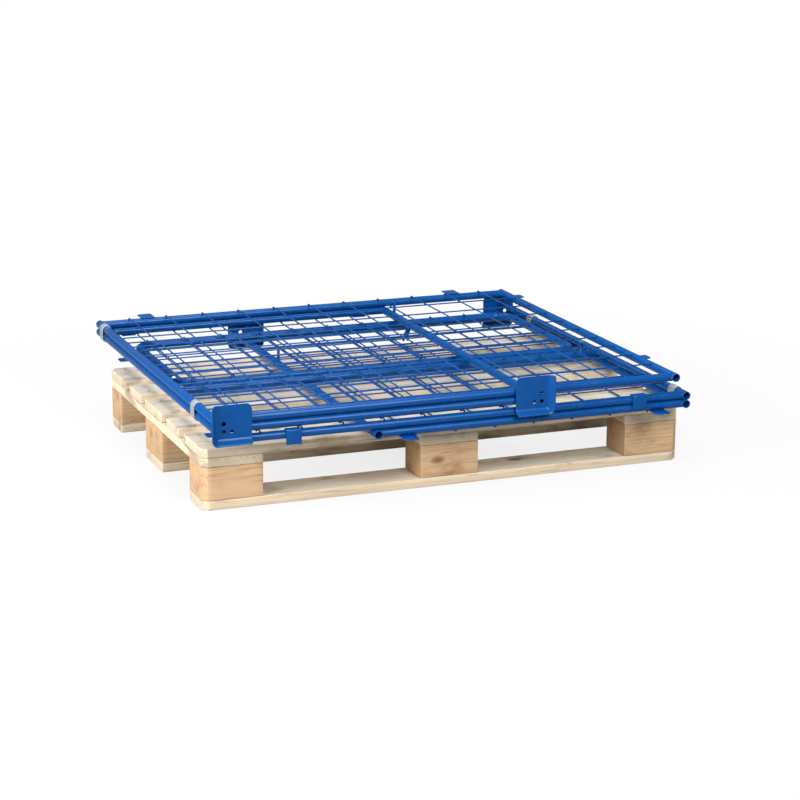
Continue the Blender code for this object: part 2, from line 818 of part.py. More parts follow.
def pull_pin(name, x, material, frame):
    """Pin with a round head that rests on its sleeve."""
    y = pin_y()
    top = EAR_THICK / 2 + GAP + SLEEVE_H + GAP
    mesh_data = bmesh.new()
    add_rod(mesh_data, (0, 0, -PIN_LENGTH + WELD), (0, 0, WELD), "Z", PIN_D / 2, 12)
    item = object_from_bmesh(name, mesh_data, material, frame)
    head_data = bmesh.new()
    add_rod(head_data, (0, 0, 0), (0, 0, PIN_HEAD_H), "Z", PIN_HEAD_D / 2, 16)
    upper = [edge for edge in head_data.edges if all(v.co.z > PIN_HEAD_H / 2 for v in edge.verts)]
    bmesh.ops.bevel(head_data, geom=upper, offset=PIN_HEAD_H / 3, segments=2, affect="EDGES")
    head = object_from_bmesh("head", head_data, parent=frame)
    item.location = (x, y, top)
    head.location = (x, y, top)
    fuse(item, [head])
    smooth_round_faces(item)
    return item


def build_gate(blue, zinc, frame):
    """Half gate: bent frame with eyes, its mesh and the two pull pins."""
    low_x = GATE_SIDE_INSET
    high_x = LONG_WIDTH - GATE_SIDE_INSET
    path = gate_path(low_x, high_x)
    gate = object_from_bmesh("gate_frame", loop_bar(path, TUBE_R, TUBE_SIDES), blue, frame)
    bore_body = loop_bar(path, TUBE_R - TUBE_WALL, TUBE_SIDES)
    bore = object_from_bmesh("gate_bore", bore_body, parent=frame)
    vent_start = (LONG_WIDTH / 2, GATE_LOW_Y, 0)
    vent_end = (LONG_WIDTH / 2, GATE_LOW_Y + TUBE_D, 0)
    vent = make_rod("vent", vent_start, vent_end, "Y", WIRE_R, TUBE_SIDES, frame)
    ears = []
    for side, x in ((-1, PIN_INSET), (1, LONG_WIDTH - PIN_INSET)):
        ears.append(gate_ear(x, side, frame))
    cut(gate, [bore, vent])
    fuse(gate, ears)
    for x in (PIN_INSET, LONG_WIDTH - PIN_INSET):
        cut(gate, [pin_bore(x, frame)])
    smooth_round_faces(gate)
    places = long_wire_places()
    rows = row_places(HALF_ROWS, GATE_TOP_Y, GATE_LOW_Y)
    mesh_grid("gate_mesh", places, rows, (low_x, high_x), (GATE_TOP_Y, GATE_LOW_Y), 1, blue, frame)
    pull_pin("gate_pin_hinge_side", PIN_INSET, zinc, frame)
    pull_pin("gate_pin_free_side", LONG_WIDTH - PIN_INSET, zinc, frame)


def build_gated_long_panel(blue, zinc, frame):
    """Lower long panel: posts, two rails with mesh, and the half gate above them."""
    hinge = post("gated_post_hinge", 0.0, blue, frame)
    free = post("gated_post_free", LONG_WIDTH, blue, frame)
    add_post_lugs(free, LONG_WIDTH, frame)
    fuse(hinge, [sleeve_bracket(0.0, PIN_INSET, -1, frame)])
    fuse(free, [sleeve_bracket(LONG_WIDTH, LONG_WIDTH - PIN_INSET, 1, frame)])
    cut(hinge, [pin_bore(PIN_INSET, frame)])
    cut(free, [pin_bore(LONG_WIDTH - PIN_INSET, frame)])
    smooth_round_faces(hinge)
    smooth_round_faces(free)
    smooth_round_faces(rail("gated_rail_middle", LONG_WIDTH, MID_RAIL_Y, blue, frame))
    places = long_wire_places()
    bottom = rail("gated_rail_bottom", LONG_WIDTH, RAIL_Y, blue, frame)
    fuse(bottom, [seat_plate(RAIL_Y, centre, frame) for centre in long_feet(places)])
    smooth_round_faces(bottom)
    rows = row_places(HALF_ROWS, MID_RAIL_Y, RAIL_Y)
    span_x = (0.0, LONG_WIDTH)
    mesh_grid("gated_mesh", places, rows, span_x, (MID_RAIL_Y, RAIL_Y), 1, blue, frame)
    build_gate(blue, zinc, frame)


def build_cage(blue, grey, zinc):
    """Both folded units, from the deck upwards."""
    lower_short = panel_frame("lower_short_axis", LOWER_SHORT_Z, True)
    lower_long = panel_frame("lower_long_axis", LOWER_LONG_Z, True)
    upper_short = panel_frame("upper_short_axis", UPPER_SHORT_Z, False)
    upper_long = panel_frame("upper_long_axis", UPPER_LONG_Z, False)
    lower_y = LOWER_CATCH_INSET - HALF_POST
    lower_catch = catch_plate(SHORT_WIDTH, lower_y, -1, LOWER_CATCH_RISE, lower_short)
    build_short_panel("lower", [lower_catch], blue, lower_short)
    build_clips("lower", grey, lower_short)
    build_gated_long_panel(blue, zinc, lower_long)
    upper_y = HALF_POST - UPPER_CATCH_INSET
    upper_catch = catch_plate(SHORT_WIDTH, upper_y, 1, UPPER_CATCH_RISE, upper_short)
    fork = fork_hook(SHORT_WIDTH, HALF_POST - FORK_INSET, upper_short)
    build_short_panel("upper", [upper_catch, fork], blue, upper_short)
    build_clips("upper", grey, upper_short)
    build_plain_long_panel(blue, upper_long)


def main():
    """Build the pallet and the folded cage on it."""
    clear_scene()
    deck_wood = make_material("deck_wood", (0.60, 0.45, 0.29), 0.80, 0.0)
    block_wood = make_material("block_wood", (0.56, 0.36, 0.18), 0.82, 0.0)
    blue = make_material("powder_blue", (0.012, 0.082, 0.38), 0.35, 0.0)
    grey = make_material("clip_grey", (0.52, 0.55, 0.52), 0.45, 0.0)
    zinc = make_material("zinc", (0.72, 0.74, 0.76), 0.30, 1.0)
    build_pallet(deck_wood, block_wood)
    build_cage(blue, grey, zinc)


main()
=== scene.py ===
"""Folded wire-mesh cage on a four-way wooden pallet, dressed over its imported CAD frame.

Every dressed piece lies where its CAD node lies and rides on the same body. Lengths are in
metres, +Z is up, and the pallet's front edge faces -Y. A panel is worked out in its own frame
and then placed: origin on its hinge post's axis at mid length, +x towards its free post and
-y towards its top end.
"""

import logging
import math
from dataclasses import dataclass
from enum import Enum
from typing import Sequence

import bmesh
import bpy
import numpy as np
from mathutils import Matrix, Vector
from mathutils.geometry import delaunay_2d_cdt


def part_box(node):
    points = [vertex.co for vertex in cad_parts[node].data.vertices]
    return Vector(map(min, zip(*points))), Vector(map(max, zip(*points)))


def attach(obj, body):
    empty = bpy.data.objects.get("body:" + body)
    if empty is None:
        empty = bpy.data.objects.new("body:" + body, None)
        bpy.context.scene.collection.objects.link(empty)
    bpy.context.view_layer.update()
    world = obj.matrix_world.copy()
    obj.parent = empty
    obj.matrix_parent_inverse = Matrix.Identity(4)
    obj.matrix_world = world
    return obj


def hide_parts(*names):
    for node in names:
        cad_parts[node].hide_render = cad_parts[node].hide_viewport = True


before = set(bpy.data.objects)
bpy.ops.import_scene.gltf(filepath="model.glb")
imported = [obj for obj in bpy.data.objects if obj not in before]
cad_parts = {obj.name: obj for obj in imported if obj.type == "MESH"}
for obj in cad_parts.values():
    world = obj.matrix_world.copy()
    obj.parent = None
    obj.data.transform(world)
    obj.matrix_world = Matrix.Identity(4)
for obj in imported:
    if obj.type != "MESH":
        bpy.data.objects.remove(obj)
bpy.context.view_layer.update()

LOG = logging.getLogger("cage")
MM = 0.001
TURN = 2.0 * math.pi
Socket = bpy.types.NodeSocket


class Slot(str, Enum):
    """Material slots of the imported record."""

    BOARD = "board_wood"
    BLOCK = "block_wood"
    BLUE = "blue_coat"
    STRAP = "grey_strap"
    PIN = "pin_zinc"


class Grain(Enum):
    """Axis order that puts the wood's grain first: along, across, through."""

    ALONG_X = (0, 1, 2)
    ALONG_Y = (1, 0, 2)


# ---------------------------------------------------------------- numbers into surfaces


def wave(turns: np.ndarray, seed: int, octaves: int = 6) -> np.ndarray:
    """Smooth closed noise: the sum of sines of 1, 2, ... waves with seeded phases and heights.

    Args:
        turns: places along a closed line, from 0 to 1.
        seed: picks the phases.
        octaves: number of sines, the k-th with k*k waves.

    Returns:
        Values of about -1 to 1 at those places.
    """
    rng = np.random.default_rng(seed)
    phases = rng.uniform(0, TURN, octaves)
    heights = rng.uniform(0.5, 1.0, octaves) / np.sqrt(np.arange(1, octaves + 1))
    counts = np.arange(1, octaves + 1) ** 2
    total = np.sin(TURN * turns[..., None] * counts + phases) * heights
    return total.sum(-1) / heights.sum()


def ring_faces(rows: int, cols: int, first: int, wrap_rows: bool,
               wrap_cols: bool) -> np.ndarray:
    """Quads between neighbouring rows and columns of a grid of points.

    Args:
        rows: rows of points.
        cols: points in each row.
        first: number of the grid's first point.
        wrap_rows: whether the last row joins the first.
        wrap_cols: whether the last column joins the first.

    Returns:
        One row of four point numbers for each face.
    """
    number = np.arange(rows * cols).reshape(rows, cols) + first
    if wrap_rows:
        number = np.vstack([number, number[:1]])
    if wrap_cols:
        number = np.hstack([number, number[:, :1]])
    corners = (number[:-1, :-1], number[1:, :-1], number[1:, 1:], number[:-1, 1:])
    return np.stack(corners, -1).reshape(-1, 4)


class Shell:
    """Points and faces gathered for one piece."""

    def __init__(self) -> None:
        """Start with nothing."""
        self.points: list[np.ndarray] = []
        self.faces: list[list[int]] = []
        self.count = 0

    @classmethod
    def of(cls, grid: np.ndarray, wrap_rows: bool = False, caps: bool = False) -> "Shell":
        """Shell that holds one grid."""
        shell = cls()
        shell.add_grid(grid, wrap_rows=wrap_rows, caps=caps)
        return shell

    def add_grid(self, grid: np.ndarray, wrap_rows: bool = False, wrap_cols: bool = True,
                 caps: bool = False) -> None:
        """Add a grid of points, P(row, column), as quads.

        Args:
            grid: array of rows, columns and 3 coordinates.
            wrap_rows: whether the last row joins the first.
            wrap_cols: whether the last column joins the first.
            caps: whether the first and last rows are closed with one face each.
        """
        rows, cols = grid.shape[:2]
        quads = ring_faces(rows, cols, self.count, wrap_rows, wrap_cols)
        self.faces.extend(quads.tolist())
        if caps:
            self.faces.append(list(range(self.count, self.count + cols)))
            last = self.count + (rows - 1) * cols
            self.faces.append(list(range(last, last + cols)))
        self.points.append(grid.reshape(-1, 3))
        self.count += rows * cols

    def add_many(self, grids: np.ndarray) -> None:
        """Add several closed-round grids of the same size, P(copy, row, column)."""
        for grid in grids:
            self.add_grid(grid)

    def add_mesh(self, points: np.ndarray, faces: Sequence[Sequence[int]]) -> None:
        """Add loose points and faces whose numbers start at 0."""
        self.faces.extend([index + self.count for index in face] for face in faces)
        self.points.append(points)
        self.count += len(points)

    def join(self, others: Sequence["Shell"]) -> None:
        """Add the points and faces of other shells."""
        for other in others:
            self.add_mesh(np.concatenate(other.points), other.faces)

    def piece(self, name: str, place: "Place | None" = None,
              merge: float = 2e-6) -> bpy.types.Object:
        """Make the object: doubles merged, faces outward, smooth but for sharp edges.

        Args:
            name: the piece's name.
            place: frame that the points are given in, or None for the world.
            merge: distance under which points are one.

        Returns:
            The new object, at the origin.
        """
        points = np.concatenate(self.points)
        if place is not None:
            points = place.to_world(points)
        mesh = bpy.data.meshes.new(name)
        mesh.from_pydata(points, [], self.faces)
        shape = bmesh.new()
        shape.from_mesh(mesh)
        bmesh.ops.remove_doubles(shape, verts=shape.verts, dist=merge)
        bmesh.ops.dissolve_degenerate(shape, edges=shape.edges, dist=merge)
        bmesh.ops.recalc_face_normals(shape, faces=shape.faces)
        shape.to_mesh(mesh)
        shape.free()
        item = new_object(name, mesh)
        shade(item)
        return item


def new_object(name: str, data: bpy.types.ID) -> bpy.types.Object:
    """Object with this data, in the scene, at the origin."""
    item = bpy.data.objects.new(name, data)
    bpy.context.scene.collection.objects.link(item)
    return item


def shade(item: bpy.types.Object, angle: float = 38.0) -> None:
    """Shade smooth and keep edges steeper than the angle, in degrees, sharp."""
    item.data.shade_smooth()
    item.data.set_sharp_from_angle(angle=math.radians(angle))


def settle(item: bpy.types.Object) -> None:
    """Replace the object's mesh by what its modifiers make of it."""
    graph = bpy.context.evaluated_depsgraph_get()
    shaped = bpy.data.meshes.new_from_object(item.evaluated_get(graph))
    item.modifiers.clear()
    item.data = shaped


@dataclass(frozen=True)
class Place:
    """Frame of a panel: its origin in the world, and whether it is turned half round."""

    origin: tuple[float, float, float]
    turned: bool

    def to_world(self, points: np.ndarray) -> np.ndarray:
        """World places of points given in this frame."""
        sign = -1.0 if self.turned else 1.0
        return points * np.array((sign, sign, 1.0)) + np.array(self.origin)


def across(way: np.ndarray) -> tuple[np.ndarray, np.ndarray]:
    """Two unit vectors square to a direction and to each other."""
    other = np.array((0.0, 0.0, 1.0)) if abs(way[2]) < 0.9 else np.array((1.0, 0.0, 0.0))
    first = np.cross(other, way)
    first /= np.linalg.norm(first)
    return first, np.cross(way, first)


def turned_shape(start: Sequence[float], way: Sequence[float], profile: np.ndarray,
                 sides: int) -> np.ndarray:
    """Profile turned about an axis: P(s, t) = start + a(s) way + r(s) (cos t e1 + sin t e2).

    Args:
        start: a point of the axis.
        way: the axis's direction.
        profile: rows of (distance along the axis, radius).
        sides: points round the axis.

    Returns:
        Grid of points, one row for each point of the profile.
    """
    way = np.asarray(way, float)
    way = way / np.linalg.norm(way)
    first, second = across(way)
    angle = TURN * np.arange(sides) / sides
    circle = np.cos(angle)[:, None] * first + np.sin(angle)[:, None] * second
    along = profile[:, 0, None, None] * way
    return np.asarray(start, float) + along + profile[:, 1, None, None] * circle[None]


def round_wall_profile(length: float, outer: float, inner: float, lip: float) -> np.ndarray:
    """Closed section of an open tube: outer wall, rounded rim, inner wall, rounded rim.

    Args:
        length: the tube's length.
        outer: outer radius.
        inner: inner radius.
        lip: rounding radius of the rim's edges.

    Returns:
        Rows of (distance along the axis, radius).
    """
    turn = np.radians(np.linspace(0, 90, 4))
    near = lip - lip * np.sin(turn)
    out = outer - lip + lip * np.cos(turn)
    into = inner + lip - lip * np.cos(turn)
    start_out = np.stack([near, out], 1)[::-1]
    end_out = np.stack([length - near, out], 1)
    end_in = np.stack([length - near, into], 1)[::-1]
    start_in = np.stack([near, into], 1)
    return np.concatenate([start_out, end_out, end_in, start_in])


def rod_profile(length: float, radius: float, lip: float) -> np.ndarray:
    """Section of a solid round bar with eased ends that close on the axis."""
    return np.array([
        (0, 0), (0, radius - lip), (0.3 * lip, radius - 0.3 * lip), (lip, radius),
        (length / 2, radius), (length - lip, radius), (length - 0.3 * lip, radius - 0.3 * lip),
        (length, radius - lip), (length, 0),
    ])


def rods(starts: np.ndarray, way: Sequence[float], radius: float, sides: int) -> np.ndarray:
    """Many equal parallel bars: P(copy, s, t), each a turned rod profile along the way."""
    profile = rod_profile(float(np.linalg.norm(way)), radius, 0.5 * MM)
    return starts[:, None, None, :] + turned_shape((0, 0, 0), way, profile, sides)[None]


def lattice(xs: Sequence[float], ys: Sequence[float], zs: Sequence[float]) -> np.ndarray:
    """Every point that has one of the given places along each axis, as rows of (x, y, z)."""
    return np.stack(np.meshgrid(xs, ys, zs), -1).reshape(-1, 3)


def beads(centres: np.ndarray, radii: Sequence[float], rings: int = 5,
          sides: int = 8) -> np.ndarray:
    """Many small ellipsoids: P(copy, s, t) = c + R (sin s cos t, sin s sin t, cos s).

    Args:
        centres: rows of centre points.
        radii: half sizes along x, y and z.
        rings: rows from pole to pole.
        sides: points round.

    Returns:
        One closed grid for each centre.
    """
    polar = math.pi * np.arange(rings) / (rings - 1)
    round_ = TURN * (np.arange(sides) + 0.5) / sides
    unit = np.stack([
        np.sin(polar)[:, None] * np.cos(round_)[None],
        np.sin(polar)[:, None] * np.sin(round_)[None],
        np.repeat(np.cos(polar)[:, None], sides, 1),
    ], -1)
    return centres[:, None, None, :] + unit[None] * np.asarray(radii, float)


def carried(path: np.ndarray, section: np.ndarray, up: Sequence[float]) -> np.ndarray:
    """Section carried along a closed flat path: P(s, t) = path(s) + a(t) side(s) + b(t) up.

    Args:
        path: rows of points round the path.
        section: rows of (offset to the side, offset along up).
        up: the direction square to the path's plane.

    Returns:
        Grid with one row for each point of the path.
    """
    way = np.roll(path, -1, 0) - np.roll(path, 1, 0)
    way /= np.linalg.norm(way, axis=1, keepdims=True)
    high = np.asarray(up, float)
    side = np.cross(way, high)
    offsets = section[None, :, 0, None] * side[:, None] + section[None, :, 1, None] * high
    return path[:, None, :] + offsets


def filleted(corners: Sequence[Sequence[float]], radii: float | Sequence[float],
             steps: int = 5) -> np.ndarray:
    """Flat outline with each corner rounded by an arc that touches both of its sides.

    Args:
        corners: the outline's corners in order.
        radii: one radius, or one for each corner.
        steps: points on each arc.

    Returns:
        Rows of (a, b) round the outline.
    """
    points = np.asarray(corners, float)
    size = np.broadcast_to(np.asarray(radii, float), len(points))
    rows = []
    for index, corner in enumerate(points):
        back = points[index - 1] - corner
        ahead = points[(index + 1) % len(points)] - corner
        room = 0.49 * min(np.linalg.norm(back), np.linalg.norm(ahead))
        back = back / np.linalg.norm(back)
        ahead = ahead / np.linalg.norm(ahead)
        half = math.acos(float(np.clip(back @ ahead, -1, 1))) / 2
        reach = min(size[index] / math.tan(half), room)
        radius = reach * math.tan(half)
        middle = back + ahead
        centre = corner + middle / np.linalg.norm(middle) * radius / math.sin(half)
        first = corner + back * reach - centre
        last = corner + ahead * reach - centre
        start = math.atan2(first[1], first[0])
        sweep = (math.atan2(last[1], last[0]) - start + math.pi) % TURN - math.pi
        angle = start + sweep * np.linspace(0, 1, steps)
        rows.append(centre + radius * np.stack([np.cos(angle), np.sin(angle)], 1))
    return np.concatenate(rows)


def rounded_box(first: Sequence[float], last: Sequence[float],
                radii: float | Sequence[float], steps: int = 4) -> np.ndarray:
    """Rectangle between two opposite corners, rounded, from its first corner along a."""
    (left, low), (right, high) = first, last
    return filleted(((left, low), (right, low), (right, high), (left, high)), radii, steps)


def evenly(outline: np.ndarray, step: float) -> np.ndarray:
    """The same closed outline with points added so that none of its sides exceeds the step."""
    after = np.roll(outline, -1, 0)
    parts = []
    for here, there in zip(outline, after):
        count = max(1, math.ceil(float(np.linalg.norm(there - here)) / step))
        share = np.arange(count)[:, None] / count
        parts.append(here + (there - here) * share)
    return np.concatenate(parts)


def eased_plate(outline: np.ndarray, low: float, high: float, ease: float) -> np.ndarray:
    """Flat bar with eased edges: the outline carried up its own thickness.

    P(s, t) is the outline's point s, drawn in towards the middle by ease (1 - cos t) near both
    faces, at the height that t gives.

    Args:
        outline: rows of (a, b).
        low: height of the lower face.
        high: height of the upper face.
        ease: rounding of the edges.

    Returns:
        Grid of rows of (a, b, height), to be capped.
    """
    turn = np.radians(np.linspace(0, 90, 4))
    inset = ease * (1 - np.cos(turn))
    rise = ease * (1 - np.sin(turn))
    heights = np.concatenate([low + rise[::-1], high - rise])
    insets = np.concatenate([inset[::-1], inset])
    middle = (outline.max(0) + outline.min(0)) / 2
    half = (outline.max(0) - outline.min(0)) / 2
    share = 1 - insets[:, None] / half[None]
    flat = middle + (outline - middle)[None] * share[:, None]
    tall = np.broadcast_to(heights[:, None, None], flat.shape[:2] + (1,))
    return np.concatenate([flat, tall], 2)


def punched(outline: np.ndarray, holes: Sequence[np.ndarray], step: float
            ) -> tuple[np.ndarray, list[tuple[int, ...]]]:
    """Flat sheet with holes, filled with triangles on a regular net of points.

    Args:
        outline: the sheet's edge.
        holes: the edge of each hole.
        step: pitch of the net.

    Returns:
        Points as rows of (a, b), and the triangles between them.
    """
    loops = [outline, *holes]
    low, high = outline.min(0), outline.max(0)
    net = lattice(np.arange(low[0], high[0], step), np.arange(low[1], high[1], step), [0])[:, :2]
    edges, constraints, first = [], [], 0
    for loop in loops:
        count = len(loop)
        edges.extend((first + k, first + (k + 1) % count) for k in range(count))
        constraints.append(loop)
        first += count
    near = np.linalg.norm(net[:, None] - np.concatenate(constraints)[None], axis=2).min(1)
    net = net[near > 0.6 * step]
    points = [Vector(point) for point in np.concatenate([*constraints, net])]
    flat, _, faces, _, _, _ = delaunay_2d_cdt(points, edges, [], 0, 1e-7)
    flat = np.array([tuple(point) for point in flat])
    centres = np.array([flat[list(face)].mean(0) for face in faces])
    kept = inside(centres, outline)
    for hole in holes:
        kept &= ~inside(centres, hole)
    return flat, [tuple(face) for face, keep in zip(faces, kept) if keep]


def inside(points: np.ndarray, outline: np.ndarray) -> np.ndarray:
    """Whether each point is in the outline, by counting the sides crossed to its right."""
    x, y = points[:, 0, None], points[:, 1, None]
    ax, ay = outline[None, :, 0], outline[None, :, 1]
    bx, by = np.roll(ax, -1, 1), np.roll(ay, -1, 1)
    straddles = (ay > y) != (by > y)
    rise = np.where(by == ay, 1e-12, by - ay)
    crossing = x < (bx - ax) * (y - ay) / rise + ax
    return (straddles & crossing).sum(1) % 2 == 1


def circle(centre: Sequence[float], radius: float, sides: int = 28) -> np.ndarray:
    """Points of a circle."""
    angle = TURN * np.arange(sides) / sides
    return np.asarray(centre, float) + radius * np.stack([np.cos(angle), np.sin(angle)], 1)


# ---------------------------------------------------------------- finishes


def linear(hexcode: str) -> tuple[float, float, float, float]:
    """Linear colour of an sRGB hex value."""
    values = [int(hexcode[k:k + 2], 16) / 255 for k in (1, 3, 5)]
    channels = [v / 12.92 if v <= 0.04045 else ((v + 0.055) / 1.055) ** 2.4 for v in values]
    return (*channels, 1.0)


class Graph:
    """A material's node tree under construction."""

    def __init__(self, name: str) -> None:
        """Make the material and keep its tree and shader."""
        self.material = bpy.data.materials.new(name)
        self.material.use_nodes = True
        self.tree = self.material.node_tree
        self.shader = self.tree.nodes["Principled BSDF"]

    def add(self, kind: str, inputs: dict | None = None, **settings: object) -> bpy.types.Node:
        """Add a node.

        Args:
            kind: the node's type name.
            inputs: for each input, by name or number, a value or the socket to link to it.
            settings: properties of the node.

        Returns:
            The node.
        """
        node = self.tree.nodes.new(kind)
        for key, value in settings.items():
            setattr(node, key, value)
        for key, value in (inputs or {}).items():
            if isinstance(value, Socket):
                self.tree.links.new(value, node.inputs[key])
            else:
                node.inputs[key].default_value = value
        return node

    def link(self, socket: Socket, name: str) -> None:
        """Link a socket to an input of the shader."""
        self.tree.links.new(socket, self.shader.inputs[name])

    def fixed(self, **values: object) -> None:
        """Set inputs of the shader that are the same all over."""
        for key, value in values.items():
            self.shader.inputs[key.replace("_", " ")].default_value = value

    def place(self) -> Socket:
        """Place on the piece, in metres."""
        return self.add("ShaderNodeTexCoord").outputs["Object"]

    def noise(self, vector: Socket, cells: float, detail: float, roughness: float = 0.5) -> Socket:
        """Noise from 0 to 1 with this many cells in a unit of the vector."""
        node = self.add("ShaderNodeTexNoise", {"Vector": vector, "Scale": cells, "Detail": detail,
                                               "Roughness": roughness})
        return node.outputs["Fac"]

    def remap(self, value: Socket, before: tuple[float, float],
              after: tuple[float, float] = (0.0, 1.0), curve: str = "LINEAR") -> Socket:
        """Carry a value from one range to another and keep it there."""
        inputs = {"Value": value, "From Min": before[0], "From Max": before[1],
                  "To Min": after[0], "To Max": after[1]}
        return self.add("ShaderNodeMapRange", inputs, interpolation_type=curve).outputs["Result"]

    def maths(self, operation: str, *values: object) -> Socket:
        """Result of a sum or a function of numbers and sockets."""
        return self.add("ShaderNodeMath", dict(enumerate(values)), operation=operation).outputs[0]

    def stretched(self, vector: Socket, scale: Sequence[float]) -> Socket:
        """Vector times a scale for each axis."""
        inputs = {0: vector, 1: tuple(scale)}
        return self.add("ShaderNodeVectorMath", inputs, operation="MULTIPLY").outputs[0]

    def mix(self, share: Socket, first: object, second: object) -> Socket:
        """Colour between two: the first at a share of 0, the second at 1."""
        inputs = {0: share, 6: first, 7: second}
        return self.add("ShaderNodeMix", inputs, data_type="RGBA").outputs[2]

    def blend(self, factor: Socket, between: tuple[float, float], most: float, first: object,
              second: object) -> Socket:
        """First colour where the factor is low, up to a share of the second where it is high."""
        return self.mix(self.remap(factor, between, (0.0, most), "SMOOTHSTEP"), first, second)

    def bump(self, height: Socket, strength: float, depth_mm: float) -> None:
        """Let a height from 0 to 1 ripple the surface by up to this depth."""
        inputs = {"Height": height, "Strength": strength, "Distance": depth_mm * MM}
        self.link(self.add("ShaderNodeBump", inputs).outputs["Normal"], "Normal")


@dataclass(frozen=True)
class PowderCoat:
    """Epoxy-polyester powder coat on steel tube, sprayed and baked.

    A glossy closed skin with a slight orange peel: broad soft reflections that ripple a little,
    and a faint paler bloom where the panels rub in the stack.
    """

    colour: str = "#00488C"
    rubbed: str = "#08549A"
    peel_mm: float = 3.0
    peel_strength: float = 0.10
    rub_cells: float = 22.0
    rub_between: tuple[float, float] = (0.55, 0.80)
    rub_share: float = 0.55
    smooth: float = 0.17
    rough: float = 0.36
    specular: float = 0.24

    def make(self) -> bpy.types.Material:
        """The material."""
        g = Graph("powder_coat_blue")
        place = g.place()
        rub = g.noise(place, self.rub_cells, 6.0, 0.62)
        worn = g.remap(rub, self.rub_between, (0.0, self.rub_share))
        g.link(g.mix(worn, linear(self.colour), linear(self.rubbed)), "Base Color")
        g.link(g.remap(rub, (0.3, 0.8), (self.smooth, self.rough)), "Roughness")
        g.bump(g.noise(place, 1 / (self.peel_mm * MM), 2.0), self.peel_strength, 0.6)
        g.fixed(IOR=1.5, Metallic=0.0, Specular_IOR_Level=self.specular)
        return g.material


@dataclass(frozen=True)
class ZincSheet:
    """Galvanised sheet or turned and zinc-plated steel.

    A pale metal with cloudy spangle patches that differ a little in tone and gloss.
    """

    name: str
    colour: str
    cloudy: str
    roughness: float
    spangle_mm: float
    metallic: float
    cloud_cells: float = 90.0

    def make(self) -> bpy.types.Material:
        """The material."""
        g = Graph(self.name)
        place = g.place()
        size = {"Vector": place, "Scale": 1 / (self.spangle_mm * MM)}
        flakes = g.add("ShaderNodeTexVoronoi", size).outputs["Color"]
        cloud = g.noise(place, self.cloud_cells, 4.0)
        share = g.maths("MULTIPLY", flakes, cloud)
        g.link(g.mix(share, linear(self.colour), linear(self.cloudy)), "Base Color")
        gloss = (self.roughness - 0.07, self.roughness + 0.10)
        g.link(g.remap(cloud, (0.3, 0.7), gloss), "Roughness")
        g.bump(cloud, 0.12, 0.5)
        g.fixed(Metallic=self.metallic)
        return g.material


@dataclass(frozen=True)
class Layer:
    """Noise drawn out along the grain, and how it blends a tone into the wood.

    Along and across are cells in a metre. The tone sets in at low and reaches its share at high.
    """

    along: float
    across: float
    detail: float
    low: float = 0.0
    high: float = 1.0
    share: float = 1.0

    def noise(self, g: Graph, grain: Socket) -> Socket:
        """The noise, from 0 to 1."""
        vector = g.stretched(grain, (self.along, self.across, self.across))
        return g.noise(vector, 1.0, self.detail, 0.6)

    def over(self, g: Graph, noise: Socket, below: object, tone: object) -> Socket:
        """Colour below with this layer's tone blended in where its noise is high."""
        return g.blend(noise, (self.low, self.high), self.share, below, tone)


WANDER = Layer(along=1.6, across=9.0, detail=3.0)
STREAKS = Layer(along=2.2, across=46.0, detail=4.0, low=0.46, high=0.76, share=0.50)
WEAR = Layer(along=2.4, across=11.0, detail=5.0)
SMUDGES = Layer(along=9.0, across=20.0, detail=8.0, low=0.50, high=0.70, share=0.50)
CHECKS = Layer(along=6.0, across=240.0, detail=2.0, low=0.63, high=0.72, share=0.65)
FIBRES = Layer(along=14.0, across=420.0, detail=4.0, low=0.50, high=0.80, share=0.28)


